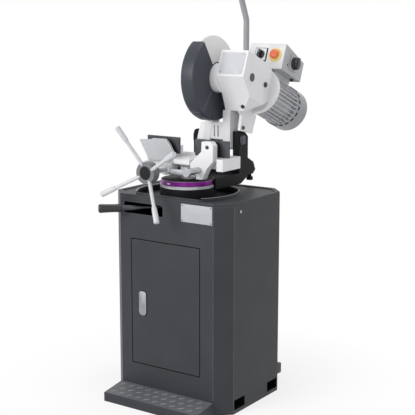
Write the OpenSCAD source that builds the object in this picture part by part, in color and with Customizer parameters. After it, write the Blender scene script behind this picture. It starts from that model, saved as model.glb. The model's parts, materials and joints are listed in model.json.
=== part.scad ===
// Cold saw: a swivelling, hinged saw head over a fixed vise, standing on a sheet-steel cabinet.
// The origin is the middle of the cabinet's footprint on the floor. The operator stands at -Y.

/* [Cabinet] */
// Cabinet width, left to right
cab_w = 580; // [520:5:700]
// Cabinet depth, front to back
cab_d = 460; // [420:5:600]
// Cabinet height to the top of its rim
cab_h = 860; // [700:5:1000]
// Leg of the folded 45 degree corner
corner = 60; // [40:1:80]
// Thickness of the cabinet sheet
sheet = 3; // [2:0.5:5]
// Thickness of the base plate
base_t = 12; // [8:1:20]
// Radius of the floor anchor holes
anchor_r = 7; // [5:0.5:10]
// Spacing of the anchor holes along X
anchor_x = 380; // [300:10:400]
// Spacing of the anchor holes along Y
anchor_y = 398; // [380:2:410]
// Width of one fork pocket
pocket_w = 80; // [60:1:90]
// Height of one fork pocket
pocket_h = 43; // [30:1:60]
// Door width
door_w = 336; // [280:1:380]
// Door height
door_h = 522; // [400:1:560]
// Height of the door's lower edge
door_z = 153; // [120:1:200]
// Sideways place of the door's middle
door_x = -4; // [-20:1:20]
// Gap around the door
door_gap = 2; // [1:0.5:4]
// Height of the slot for the clamp lever
slot_h = 46; // [40:1:60]
// Width of the step
step_w = 470; // [400:5:560]
// Depth of the step
step_d = 118; // [80:1:160]
// Height of the step at its back edge
step_h = 56; // [40:1:80]
// Height of the step at its front edge
step_front_h = 38; // [20:1:40]

/* [Turntable] */
// Swivel axis, distance behind the cabinet's middle
swivel_y = -75; // [-90:1:-60]
// Radius of the lip round the opening in the tray
lip_r = 212; // [200:1:215]
// Radius of the base drum
drum_r = 114; // [110:1:125]
// Height of the drum's top over the cabinet's rim
drum_rise = 30; // [20:1:35]
// Height of the graduated ring
scale_h = 12; // [8:1:14]
// Radius of the swivel ring
ring_r = 110; // [100:1:112]
// Height of the swivel ring
ring_h = 18.6; // [14:0.2:20]
// Radius of the centre post
post_r = 30; // [25:1:35]
// Radius of the clamp lever's stud
stud_r = 18; // [14:1:22]
// Depth of the clamp lever below the cabinet's rim
lever_drop = 55; // [50:1:60]
// Length of the clamp lever in front of the cabinet
lever_out = 140; // [125:1:150]
// Angle of the clamp lever from straight ahead
lever_angle = 46.6; // [44:0.2:48]
// Swing of the clamp lever
lever_swing = 32; // [28:1:34]

/* [Swivel arm] */
// Half width of the arm and of the yoke over its cheeks
arm_half_w = 116; // [110:1:125]
// Thickness of one yoke cheek
cheek_t = 33; // [25:1:36]
// Height of the arm's underside over the cabinet's rim
arm_rise = 19; // [12:1:25]
// Back face of the arm
arm_back = 200; // [195:1:220]
// Head hinge, distance behind the cabinet's middle
hinge_y = 152; // [148:1:156]
// Height of the head hinge over the cabinet's rim
hinge_rise = 202; // [198:1:206]
// Radius of the hinge pin
pin_r = 14; // [10:0.5:15]
// Wire diameter of the return spring
spring_wire = 5; // [4:0.5:6]
// Turns of the return spring
spring_turns = 6; // [4:1:6]

/* [Head] */
// Backward tilt of the raised head
head_tilt = 22; // [18:1:24]
// Blade axis in front of the hinge, in the head's own frame
blade_fwd = 150; // [147:1:153]
// Blade axis above the hinge, in the head's own frame
blade_up = 218; // [215:1:221]
// Diameter of the saw blade
blade_d = 315; // [275:5:315]
// Thickness of the saw blade
blade_t = 2.5; // [2:0.1:3]
// Outer radius of the guards
guard_r = 178; // [176:1:180]
// Outer width of the guards
guard_w = 62; // [56:1:64]
// Wall of the guards
guard_wall = 3; // [2:0.5:4]
// Radius of the spindle boss
boss_r = 60; // [50:1:64]
// Radius of the spindle
spindle_r = 18; // [15:1:20]
// Left side of the gearbox
gear_x0 = 60; // [56:1:62]
// Right side of the gearbox
gear_x1 = 190; // [185:1:200]
// Wall of the gearbox
gear_wall = 5; // [4:0.5:6]
// Thickness of the gearbox cover
gear_cover_t = 12; // [8:1:14]
// Sideways place of the motor axis
motor_x = 125; // [122:1:128]
// Radius of the motor's round flange
flange_r = 100; // [96:1:104]
// Radius of the motor over its fins
motor_r = 88; // [84:1:90]
// Radius of the fan cover
cover_r = 92; // [88:1:98]
// Length of the finned motor body
motor_l = 190; // [170:1:200]
// Length of the fan cover
cover_l = 92; // [70:1:100]
// Width of the control box
box_w = 175; // [165:1:180]
// Depth of the control box
box_d = 168; // [155:1:172]
// Height of the control box
box_h = 110; // [100:1:115]
// Diameter of the feed lever
lever_d = 24; // [20:1:26]
// Length of the feed lever above its bend
lever_top_l = 230; // [200:5:300]

/* [Vise] */
// Half length of the vise bed
bed_half = 205; // [195:1:210]
// Height of the vise bed over the cabinet's rim
bed_rise = 158; // [156:1:159]
// Thickness of the vise bed
bed_t = 48; // [44:1:50]
// Front end of the vise bed
bed_front = -128; // [-132:1:-124]
// Height of the fence plates
fence_h = 67; // [50:1:67]
// Thickness of the fence plates
fence_t = 10; // [8:1:12]
// Half width of the gap between the fence plates
fence_gap = 39; // [38:1:45]
// Front face of the moving jaws at rest
jaw_face = -94; // [-95:1:-93]
// Vise screw, sideways place
screw_x = -60; // [-62:1:-58]
// Height of the vise screw over the cabinet's rim
screw_rise = 102; // [100:1:104]
// Radius of the vise screw
screw_r = 10; // [8:0.5:11]
// Reach of the star wheel's spokes
spoke_reach = 205; // [180:1:210]
// Angle of the first spoke
spoke_angle = 28; // [0:1:89]

/* [Fits] */
// Radial clearance of shafts and pins in their bores
run_gap = 0.05; // [0.02:0.01:0.1]
// Gap between faces that pass each other
pass_gap = 0.4; // [0.3:0.05:0.6]

/* [Hidden] */
$fn = 64;
eps = 0.01;
cut = 2;

// Colours of the finishes
anthracite = "#3c3e42";
black_cast = "#222326";
white_paint = "#e8e8ea";
grey_paint = "#b9babd";
dark_guard = "#44474d";
steel = "#a9abae";
dark_steel = "#3a3b3e";
black_plastic = "#1c1c1e";
violet = "#5a2466";
stop_red = "#e2531f";

// Cabinet
half_w = cab_w / 2;
half_d = cab_d / 2;
front_y = -half_d;
tray_rim = 4;
tray_t = 8;
tray_z = cab_h - tray_rim - tray_t;
rim_w = 20;
wall_z0 = base_t;
wall_h = tray_z - wall_z0;
channel_wall = 3;
channel_z = base_t;
pocket_z = channel_z + channel_wall;
pocket_room = 1;
pocket_y = half_d - corner - pocket_w / 2 - channel_wall - pocket_room;
door_x0 = door_x - door_w / 2;
door_x1 = door_x + door_w / 2;
lever_z = cab_h - lever_drop;
lever_run = swivel_y - front_y;
slot_x0 = -lever_run * tan(lever_angle) - 45;
slot_x1 = -lever_run * tan(lever_angle - lever_swing) + 27.4;
slot_corner = 14;
door_pin_r = 2.5;
door_lug_w = 18;
door_lug_d = 9;
door_lug_t = 5;
bracket_h = 20;
door_axis_x = door_x1 - 10;
door_axis_y = front_y + 2 * sheet;
pull_w = 37;
pull_h = 102;
pull_t = 3;
pull_x = door_x - 113.5;
pull_z = door_z + 257;
inlet_w = 60;
inlet_d = 80;
inlet_h = 44;
inlet_x = 196;
inlet_z = 26;
gland_r = 9;
gland_l = 12;
tank_w = 340;
tank_d = 150;
tank_h = 200;
tank_y = 100;
tank_x = 0;
tank_z = channel_z + pocket_h + 2 * channel_wall;
tank_hole_r = 40;
pump_x = tank_x + tank_w / 4;
pump_r = 45;
pump_h = 140;

// Turntable stack
drum_top = cab_h + drum_rise;
flange_t = 12;
lip_w = 7;
lip_h = 12;
opening_r = lip_r - lip_w;
opening_front = front_y + rim_w - 4;
scale_top = drum_top + scale_h;
scale_in_r = drum_r - 14;
drum_in_r = drum_r - 19;
drum_roof = 12;
ring_z = scale_top + pass_gap;
ring_top = ring_z + ring_h;
bed_top = cab_h + bed_rise;
bed_z = bed_top - bed_t;
post_top = ring_top + pass_gap;
stud_z = lever_z - 30;
stud_nut_h = 12;
hub_r = 40;
hub_h = 30;
rod_r = 8;
grip_r = 15.5;
grip_l = 95;
grip_floor = 8;
lever_reach = lever_run / cos(lever_angle) + lever_out;

// Swivel arm
arm_z = cab_h + arm_rise;
hinge_z = cab_h + hinge_rise;
arm_front = swivel_y + 30;
foot_top = ring_top + 4;
cheek_in = arm_half_w - cheek_t;
cheek_y0 = hinge_y - 22;
cheek_top = hinge_z + 36;
cheek_round = 18;
cheek_back = arm_back - 3;
wall_y0 = hinge_y + 8;
wall_top = hinge_z - 77;
fork_out = cheek_in - pass_gap;
fork_in = 47;
flange_in = 18;
flange_lean = 21;
flange_back = -28;
ear_t = 11.5;
ear_x0 = arm_half_w + pass_gap;
ear_x1 = ear_x0 + ear_t;
pin_head_r = pin_r + 4;
pin_head_t = 4;
coil_r = pin_r + 2 + spring_wire / 2;
collar_r = coil_r + 5;
collar_w = 6;
spring_x0 = -24;
spring_x1 = fork_in - 1 - collar_w;
lug_out = 110;
lug_in = 40;
lug_screw_r = 8;
lug_knob_r = 14;

// Blade and guards
blade_r = blade_d / 2;
guard_half = guard_w / 2;
guard_in = guard_r - guard_wall - 1.8;
fixed_r = guard_in - pass_gap - 0.8;
fixed_half = guard_half - guard_wall - 2 * pass_gap;
hub_plate_r = boss_r + 4;
stub_r = 12;
stub_plate_r = 40;
seam_top = 35;
seam_low = -97;
fixed_from = 24;
fixed_to = 245;
rear_from = 193;
rear_to = 360 + seam_low - 1;
rim_chamfer_x = 10;
rim_chamfer_r = 4;
clamp_r = 50;
clamp_t = 7;
clamp_nut_r = 26;
clamp_nut_t = 11;
clamp_room_r = clamp_r + 4;
blade_room = 2;
fixed_near = blade_t / 2 + blade_room + guard_wall;

// Gearbox and motor
gear_top = 319;
gear_front = -206;
gear_back = 10;
round_y = -51;
round_z = 234;
round_r = gear_top - round_z;
gear_inner_x1 = gear_x1 - gear_cover_t;
motor_z = blade_up + 6;
flange_l = 24;
motor_y0 = gear_back + flange_l;
box_seat = 96;
spigot_l = 8;
cover_y0 = motor_y0 + motor_l;
cover_y1 = cover_y0 + cover_l;
core_r = 70;
stator_r = 62;
rotor_r = 45;
air_gap = 0.8;
stack_y0 = motor_y0 + 40;
stack_y1 = cover_y0 - 44;
shaft_r = 12;
shaft_bore = shaft_r + 8;
crown_r = 33;
crown_w = 22;
pinion_r = 10.6;
crown_x1 = motor_x - pinion_r - pass_gap;
pinion_y0 = spindle_r + 1 - blade_fwd;
pinion_l = 16;
bearing_r = 32;
bearing_w = 18;
spindle_bearing_x = [30, gear_inner_x1 - bearing_w - 2];
bearing_cup_r = bearing_r + 7;
shaft_bearing_r = 26;
shaft_bearing_w = 16;
shaft_bearing_y = [gear_back + 4, cover_y0 - shaft_bearing_w];
plug_r = 17;
plug_y = -141;
plug_z = 228;
bolt_r = 8;
bevel_w = 42;
bevel_z = 97.5;
bevel_slope = 1.25;
bevel_in = gear_wall * sqrt(1 + bevel_slope * bevel_slope);

// Control box and lever
box_x0 = motor_x - 80;
box_x1 = box_x0 + box_w;
box_y0 = 18;
box_z0 = motor_z + box_seat;
box_top_back = box_h - 25;
box_wall = 3;
knob_stem = 6;
estop_x = box_x0 + 131;
estop_z = box_z0 + 61;
estop_r = 20;
estop_ring_r = 30;
estop_stem = 11;
estop_rise = 18;
estop_cap = 10;
selector_x = box_x0 + 61;
selector_z = box_z0 + 60;
selector_r = 18;
selector_plate = 60;
switch_y = box_y0 + 84;
switch_z = box_z0 + 54;
switch_r = 24;
switch_plate = 64;
seat_t = 4;
knob_base = 8;
knob_t = 22;
lever_x = motor_x + 6;
lever_y = hinge_y + 2;
lever_bend_z = hinge_z + 493;
lever_lean = 25;
foot_r = 20;
foot_h = 16;
foot_z = gear_top + foot_h / 2;
lever_z0 = (foot_z - (lever_y - hinge_y) * sin(head_tilt)) / cos(head_tilt);
foot_y = (lever_y - hinge_y) * cos(head_tilt) - lever_z0 * sin(head_tilt);
grip_len = 130;
rod_in_grip = 60;
lever_grip_r = 17;
button_r = 9;
button_l = 30;
button_depth = 40;
button_proud = 9;
button_gap = 0.3;

// Vise
screw_z = cab_h + screw_rise;
bed_back = 0;
jaw_close = 12.5;
slot_back = jaw_face + jaw_close + pass_gap;
block_x0 = -32;
block_x1 = 44;
block_t = 33;
finger_x0 = 176;
recess_r = 66;
recess_d = 14;
fence_face = swivel_y - 5;
fence_web = 25;
fence_web_h = 32;
fence_web_x = 150;
jaw_t = 14;
stem_x0 = -175;
slide_x1 = block_x0 - 4;
slide_back = jaw_face - 4;
slide_front = jaw_face - 46;
slide_z0 = screw_z - 22;
slide_z1 = bed_z + 16;
nut_r = 24;
nut_l = 10;
tie_r = 12;
tie_z = screw_z - 10;
tie_y = jaw_face - 41;
right_x0 = block_x1 + 4;
right_x1 = finger_x0 - 18;
right_front = jaw_face - 34;
right_foot = right_x0 + 28;
push_r = 14;
push_x = right_foot + push_r;
push_z = tie_z + 16;
push_l = 78;
push_cap_r = 18;
push_cap_l = 9;
right_z0 = tie_z - tie_r - 10;
right_top = bed_top + 65;
bearing_y0 = swivel_y + 15;
bearing_y1 = bearing_y0 + 25;
bearing_half = 20;
collar_t = 6;
hub_front = front_y - 51;
hub_back = hub_front + 37;
star_r = 44;
star_y = (hub_front + hub_back) / 2;
star_neck_r = 22;
star_neck_l = 12;
star_cap_r = 27;
star_cap_d = 5;
spoke_dish = 19;
spoke_r0 = 7;
spoke_r1 = 11;
spoke_root = star_r - 14;
spoke_rod_l = 60;

// A flat outline in Y and Z, drawn out along X
module yz(x0, x1) translate([x0, 0, 0]) rotate([90, 0, 90]) linear_extrude(x1 - x0) children();

// A flat outline in X and Z, drawn out along Y
module xz(y0, y1) translate([0, y1, 0]) rotate([90, 0, 0]) linear_extrude(y1 - y0) children();

// Round bars along X and along Y
module xbar(r, x0, x1) translate([x0, 0, 0]) rotate([0, 90, 0]) cylinder(r = r, h = x1 - x0);
module ybar(r, y0, y1) translate([0, y0, 0]) rotate([-90, 0, 0]) cylinder(r = r, h = y1 - y0);

// A tube along X
module xtube(r, bore, x0, x1) difference() {
    xbar(r, x0, x1);
    xbar(bore, x0 - cut, x1 + cut);
}

// A tube along Y
module ytube(r, bore, y0, y1) difference() {
    ybar(r, y0, y1);
    ybar(bore, y0 - cut, y1 + cut);
}

// A box from its two corners
module block(a, b) translate(a) cube(b - a);

// The head's own frame: upright, with its origin on the hinge axis
module head_frame() translate([0, hinge_y, hinge_z]) rotate([-head_tilt, 0, 0]) children();

// The blade's frame inside the head's frame
module blade_frame() head_frame() translate([0, -blade_fwd, blade_up]) children();

// The motor axis inside the head's frame
module motor_frame() head_frame() translate([motor_x, 0, motor_z]) children();

// The swivel axis
module swivel_frame() translate([0, swivel_y, 0]) children();

// The clamp lever's frame, with -Y along its bar
module lock_frame() swivel_frame() translate([0, 0, lever_z]) rotate([0, 0, -lever_angle]) children();

// The feed lever's frame at its bend, with Z along the upper part
module lever_frame() translate([lever_x, lever_y, lever_bend_z]) rotate([lever_lean, 0, 0]) children();

// The vise screw's axis
module screw_frame() translate([screw_x, 0, screw_z]) children();

// Outline of the cabinet in plan, drawn in from its faces by the inset
module cabinet_plan(inset = 0) {
    w = half_w - inset;
    d = half_d - inset;
    c = corner - inset * (2 - sqrt(2));
    polygon([[-w + c, -d], [w - c, -d], [w, -d + c], [w, d - c], [w - c, d], [-w + c, d], [-w, d - c],
        [-w, -d + c]]);
}

// A pie slice between two angles, counted from the front upwards
module slice(r, a0, a1) {
    steps = ceil((a1 - a0) / 30);
    far = r / cos((a1 - a0) / steps / 2) + 1;
    polygon(concat([[0, 0]], [for (i = [0 : steps]) let (a = a0 + (a1 - a0) * i / steps)
        [-far * cos(a), far * sin(a)]]));
}

// A disc about X whose two rims are chamfered
module chamfered(r, half, cx, cr) {
    xbar(r, cx - half, half - cx);
    for (m = [0, 1]) mirror([m, 0, 0]) translate([half - cx - eps, 0, 0]) rotate([0, 90, 0])
        cylinder(r1 = r, r2 = r - cr, h = cx + eps);
}

// A guard shell between two angles, hollow inside
module guard_shell(r_out, r_in, half_out, half_in, a0, a1, cx = 0, cr = 0) difference() {
    intersection() {
        if (cx > 0) chamfered(r_out, half_out, cx, cr);
        else xbar(r_out, -half_out, half_out);
        yz(-half_out - cut, half_out + cut) slice(r_out, a0, a1);
    }
    xbar(r_in, -half_in, half_in);
}

module base_plate() color(anthracite) difference() {
    linear_extrude(base_t) cabinet_plan();
    for (x = [-1, 1], y = [-1, 1])
        translate([x * anchor_x / 2, y * anchor_y / 2, -cut]) cylinder(r = anchor_r, h = base_t + 2 * cut);
}

module fork_channels() color(anthracite) for (s = [-1, 1]) translate([0, s * pocket_y, 0]) difference() {
    block([-half_w + sheet, -pocket_w / 2 - channel_wall, channel_z],
        [half_w - sheet, pocket_w / 2 + channel_wall, tank_z]);
    block([-half_w, -pocket_w / 2, pocket_z], [half_w, pocket_w / 2, pocket_z + pocket_h]);
}

// Folded corner strips between the flat panels
module corner_posts() color(anthracite) translate([0, 0, wall_z0]) linear_extrude(wall_h)
    for (sx = [-1, 1], sy = [-1, 1]) mirror([sx < 0 ? 1 : 0, 0]) mirror([0, sy < 0 ? 1 : 0])
        polygon([[half_w - corner, half_d], [half_w, half_d - corner], [half_w - sheet, half_d - corner],
            [half_w - corner, half_d - sheet]]);

// Front panel with the door opening and the lever slot, whose upper right corner is round
module cabinet_front() color(anthracite) difference() {
    block([-half_w + corner, front_y, wall_z0], [half_w - corner, front_y + sheet, tray_z]);
    block([door_x0 - door_gap, front_y - cut, door_z - door_gap],
        [door_x1 + door_gap, front_y + sheet + cut, door_z + door_h + door_gap]);
    xz(front_y - cut, front_y + sheet + cut) translate([slot_x0, lever_z - slot_h / 2]) {
        square([slot_x1 - slot_x0 - slot_corner, slot_h]);
        square([slot_x1 - slot_x0, slot_h - slot_corner]);
        translate([slot_x1 - slot_x0 - slot_corner, slot_h - slot_corner]) circle(r = slot_corner);
    }
}

// Side panels with the fork pockets
module side_panels() color(anthracite) for (m = [0, 1]) mirror([m, 0, 0]) difference() {
    block([half_w - sheet, -half_d + corner, wall_z0], [half_w, half_d - corner, tray_z]);
    for (s = [-1, 1]) translate([half_w, s * pocket_y, 0])
        block([-sheet - cut, -pocket_w / 2, pocket_z], [cut, pocket_w / 2, pocket_z + pocket_h]);
}

module cabinet_back() color(anthracite)
    block([-half_w + corner, half_d - sheet, wall_z0], [half_w - corner, half_d, tray_z]);

// Top tray with a raised border, and a round lipped opening that the front border cuts off
module top_tray() color(anthracite) difference() {
    union() {
        difference() {
            translate([0, 0, tray_z]) linear_extrude(tray_t + tray_rim) cabinet_plan();
            translate([0, 0, tray_z + tray_t]) linear_extrude(tray_rim + cut) cabinet_plan(rim_w);
        }
        intersection() {
            swivel_frame() translate([0, 0, tray_z + cut]) cylinder(r = lip_r, h = tray_t + lip_h - cut);
            block([-half_w, opening_front - lip_w, tray_z], [half_w, half_d, cab_h + lip_h]);
        }
    }
    intersection() {
        swivel_frame() translate([0, 0, tray_z - cut]) cylinder(r = opening_r, h = tray_t + lip_h + 2 * cut);
        block([-half_w, opening_front, tray_z - 2 * cut], [half_w, half_d, cab_h + lip_h]);
    }
}

// Sloping tread, folded from sheet and open below
module step_plate() color(grey_paint) difference() {
    yz(-step_w / 2, step_w / 2) polygon([[front_y, 0], [front_y, step_h], [front_y - step_d, step_front_h],
        [front_y - step_d, 0]]);
    yz(-step_w / 2 + sheet, step_w / 2 - sheet) polygon([[front_y - sheet, -cut],
        [front_y - sheet, step_h - sheet - 1], [front_y - step_d + sheet, step_front_h - sheet],
        [front_y - step_d + sheet, -cut]]);
}

// Pivot brackets behind the front panel, above and below the door, each with its pin
module door_hinges() color(black_plastic) for (top = [0, 1])
    translate([door_axis_x, door_axis_y, door_z + top * door_h]) mirror([0, 0, 1 - top]) {
        block([-door_lug_w / 2, front_y + sheet - door_axis_y, door_gap + pass_gap],
            [door_lug_w / 2, door_lug_d / 2, door_gap + bracket_h]);
        translate([0, 0, -door_lug_t]) cylinder(r = door_pin_r, h = door_lug_t + bracket_h);
    }

// Inlet box for the supply, with an empty cable gland
module mains_inlet() color(black_plastic) {
    block([inlet_x - inlet_w / 2, half_d, inlet_z],
        [inlet_x + inlet_w / 2, half_d + inlet_d, inlet_z + inlet_h]);
    translate([inlet_x, 0, inlet_z + inlet_h / 2])
        ytube(gland_r, gland_r / 2, half_d + inlet_d - eps, half_d + inlet_d + gland_l);
}

// Sheet tank standing on the fork channels, open round the pump
module coolant_tank() color(grey_paint) difference() {
    translate([tank_x - tank_w / 2, tank_y - tank_d / 2, tank_z]) cube([tank_w, tank_d, tank_h]);
    translate([tank_x - tank_w / 2 + sheet, tank_y - tank_d / 2 + sheet, tank_z + sheet])
        cube([tank_w - 2 * sheet, tank_d - 2 * sheet, tank_h - 2 * sheet]);
    translate([pump_x, tank_y, tank_z + tank_h / 2]) cylinder(r = tank_hole_r, h = tank_h);
}

module coolant_pump() color(black_plastic) translate([pump_x, tank_y, tank_z + tank_h]) {
    cylinder(r = pump_r, h = pump_h);
    translate([0, 0, -tank_h * 2 / 3]) cylinder(r = pump_r - 12, h = tank_h * 2 / 3 + cut);
}

// Flange under the tray, and the drum that carries the scale
module base_casting() color(black_cast) swivel_frame() difference() {
    union() {
        intersection() {
            translate([0, 0, tray_z - flange_t]) cylinder(r = lip_r + 8, h = flange_t);
            block([-half_w, opening_front - swivel_y, 0], [half_w, half_d, cab_h]);
        }
        translate([0, 0, tray_z - eps]) cylinder(r = drum_r, h = drum_top - tray_z + eps);
    }
    translate([0, 0, tray_z - flange_t - cut]) cylinder(r = post_r + run_gap, h = cab_h);
    translate([0, 0, tray_z - flange_t - cut]) difference() {
        cylinder(r = drum_in_r, h = drum_top - drum_roof - tray_z + flange_t + cut);
        cylinder(r = post_r + 12, h = cab_h);
    }
}

module scale_ring() color(steel) swivel_frame() translate([0, 0, drum_top]) difference() {
    cylinder(r = drum_r - 0.5, h = scale_h);
    translate([0, 0, -cut]) cylinder(r = scale_in_r, h = scale_h + 2 * cut);
}

// Post that ties the vise bed to the base, with the clamp lever's stud and nut below
module center_post() color(steel) swivel_frame() {
    translate([0, 0, tray_z - flange_t]) cylinder(r = post_r, h = post_top - tray_z + flange_t);
    translate([0, 0, stud_z]) cylinder(r = stud_r, h = tray_z - flange_t - stud_z + eps);
    translate([0, 0, stud_z]) cylinder(r = stud_r + 10, h = stud_nut_h);
}

module swivel_ring() color(violet) swivel_frame() translate([0, 0, ring_z]) difference() {
    cylinder(r = ring_r, h = ring_h);
    translate([0, 0, -cut]) cylinder(r = post_r + run_gap, h = ring_h + 2 * cut);
}

// Arm from the swivel ring to the yoke, cut clear of the drum below and fitted to the ring above
module swivel_arm() color(black_cast) difference() {
    union() {
        yz(-arm_half_w, arm_half_w) polygon([[arm_front, arm_z], [arm_back - 55, arm_z],
            [arm_back, arm_z + 26], [arm_back, foot_top], [arm_front, foot_top]]);
        block([-cheek_in, wall_y0, foot_top - eps], [cheek_in, arm_back, wall_top]);
    }
    swivel_frame() {
        translate([0, 0, arm_z - cut]) cylinder(r = drum_r + 1, h = ring_z - arm_z + cut);
        translate([0, 0, ring_z - cut]) cylinder(r = ring_r, h = 2 * ring_h);
    }
}

// Upright cheeks of the yoke, rounded on their outer top edges
module yoke_cheeks() color(black_cast) for (m = [0, 1]) mirror([m, 0, 0]) difference() {
    yz(cheek_in, arm_half_w) polygon([[cheek_y0, foot_top], [cheek_back, foot_top],
        [cheek_back, cheek_top - 24], [cheek_back - 24, cheek_top], [cheek_y0, cheek_top]]);
    xz(cheek_y0 - cut, cheek_back + cut) difference() {
        translate([arm_half_w - cheek_round, cheek_top - cheek_round]) square(cheek_round + cut);
        translate([arm_half_w - cheek_round, cheek_top - cheek_round]) circle(r = cheek_round);
    }
    translate([0, hinge_y, hinge_z]) xbar(pin_r, cheek_in - cut, arm_half_w + cut);
}

// Lug behind the arm with the screw that sets the return spring
module rear_lug() color(black_plastic) {
    yz(lug_in, lug_out) polygon([[arm_back, arm_z + 30], [arm_back + 48, arm_z + 30],
        [arm_back + 66, arm_z + 46], [arm_back + 50, arm_z + 80], [arm_back, arm_z + 106]]);
    translate([lug_out - 16, arm_back + 46, 0]) {
        translate([0, 0, arm_z + 16]) cylinder(r = lug_screw_r, h = 14 + eps);
        translate([0, 0, arm_z + 2]) cylinder(r = lug_knob_r, h = 14 + eps);
    }
}

// Hinge pin with a round head at each end, and the set collars that hold the spring
module hinge_pin() color(steel) translate([0, hinge_y, hinge_z]) {
    xbar(pin_r, -arm_half_w - eps, arm_half_w + eps);
    xbar(pin_head_r, -arm_half_w - pin_head_t, -arm_half_w);
    xbar(pin_head_r, arm_half_w, arm_half_w + pin_head_t);
    xbar(collar_r, spring_x0 - collar_w, spring_x0);
    xbar(collar_r, spring_x1, spring_x1 + collar_w);
}

// Return spring: a helix round the pin, whose ends bend along the pin and run straight to the collars
spring_rings = 8 * spring_turns;
coil_x0 = spring_x0 + 2 * spring_wire;
coil_x1 = spring_x1 - 2 * spring_wire;
spring_pitch = (coil_x1 - coil_x0) / spring_turns;
spring_slope = atan(spring_pitch / (2 * PI * coil_r));
function out_at(a) = [0, cos(a), sin(a)];
function along_at(a) = [0, -sin(a), cos(a)];
function coil_centre(i) = [coil_x0 + spring_pitch * i / 8, 0, 0] + coil_r * out_at(45 * i);
function wire_ring(centre, out, across) = [for (k = [0 : 5])
    centre + spring_wire / 2 * (cos(60 * k) * out + sin(60 * k) * across)];
function coil_ring(i) = wire_ring(coil_centre(i), out_at(45 * i),
    cos(spring_slope) * [1, 0, 0] - sin(spring_slope) * along_at(45 * i));
function end_ring(s, i, bend, run) = wire_ring(coil_centre(i) + s * (run * [1, 0, 0]
    + spring_wire * (sin(bend) * along_at(45 * i) + (1 - cos(bend)) * [1, 0, 0])), out_at(45 * i),
    cos(bend) * [1, 0, 0] - sin(bend) * along_at(45 * i));
spring_step = min([for (i = [0 : spring_rings - 8]) norm(coil_centre(i + 8) - coil_centre(i))]);
spring_gap = spring_step * cos(spring_slope) - spring_wire;
echo("least gap between the turns of the return spring, mm", spring_gap);

module return_spring() color(steel) translate([0, hinge_y, hinge_z]) {
    points = concat(end_ring(-1, 0, 90, spring_wire), end_ring(-1, 0, 90, 0), end_ring(-1, 0, 45, 0),
        [for (i = [0 : spring_rings]) each coil_ring(i)], end_ring(1, spring_rings, 45, 0),
        end_ring(1, spring_rings, 90, 0), end_ring(1, spring_rings, 90, spring_wire));
    last = len(points) - 6;
    rings = last / 6;
    faces = concat(
        [for (i = [0 : rings - 1], k = [0 : 5]) [6 * i + k, 6 * i + (k + 1) % 6, 6 * i + 6 + k]],
        [for (i = [0 : rings - 1], k = [0 : 5])
            [6 * i + (k + 1) % 6, 6 * i + 6 + (k + 1) % 6, 6 * i + 6 + k]],
        [for (k = [1 : 4]) [0, k + 1, k]],
        [for (k = [1 : 4]) [last, last + k, last + k + 1]]);
    polyhedron(points, faces);
}

// Clamp lever: hub on the stud and a bar through the cabinet's slot
module lock_lever() color(steel) lock_frame() difference() {
    union() {
        translate([0, 0, -hub_h / 2]) cylinder(r = hub_r, h = hub_h);
        ybar(rod_r, grip_floor - lever_reach, rod_r - hub_r);
    }
    translate([0, 0, -hub_h]) cylinder(r = stud_r + run_gap, h = 2 * hub_h);
}

module lock_grip() color(black_plastic) lock_frame() difference() {
    ybar(grip_r, -lever_reach, grip_l - lever_reach);
    ybar(rod_r, grip_floor - lever_reach, 0);
}

// Door panel with a lug behind it at each pivot
module door() color(anthracite) {
    block([door_x0, front_y, door_z], [door_x1, front_y + sheet, door_z + door_h]);
    for (z = [door_z, door_z + door_h - door_lug_t]) translate([door_axis_x, door_axis_y, z]) difference() {
        block([-door_lug_w / 2, front_y + sheet - door_axis_y - eps, 0],
            [door_x1 - door_axis_x, door_lug_d / 2, door_lug_t]);
        translate([0, 0, -cut]) cylinder(r = door_pin_r + run_gap, h = door_lug_t + 2 * cut);
    }
}

// Flush pull with a scooped recess
module door_pull() color(steel) translate([pull_x, 0, pull_z]) difference() {
    xz(front_y - pull_t, front_y) {
        translate([0, -pull_h / 2 + pull_w / 2]) circle(d = pull_w);
        translate([-pull_w / 2, -pull_h / 2 + pull_w / 2]) square([pull_w, pull_h - pull_w / 2]);
    }
    xz(front_y - pull_t - cut, front_y - 1) translate([-pull_w / 2 + 5, -pull_h / 2 + 24])
        square([pull_w - 10, pull_h - 52]);
}

// Side outline of the gearbox, drawn in from its faces by the inset
module gear_outline(i = 0) intersection() {
    union() {
        translate([round_y, round_z]) circle(r = round_r - i);
        polygon([[gear_front + i, gear_top - i], [gear_front + i, 209 + i / 2], [-145 + i / 3, 164 + i],
            [-86, 100 + 1.3 * i], [0.7, 166.5 + 1.2 * i], [round_y, round_z], [round_y, gear_top - i]]);
    }
    translate([gear_front, 0]) square([gear_back - gear_front - i, gear_top]);
}

// Gearbox body over its whole width, with the lower right corner cut off
module gear_body() difference() {
    yz(gear_x0, gear_x1) gear_outline();
    xz(gear_front - cut, gear_back + cut) translate([gear_x1 - bevel_w, bevel_z]) polygon([[0, 0],
        [bevel_w + cut, bevel_slope * (bevel_w + cut)], [bevel_w + cut, -cut], [0, -cut]]);
}

// Side outline of a fork flange round the hinge
module fork_outline() {
    circle(r = 43);
    polygon([[-40, -16], [-70, 56], [-76, 72], [36, 72], [43, 0]]);
}

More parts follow.
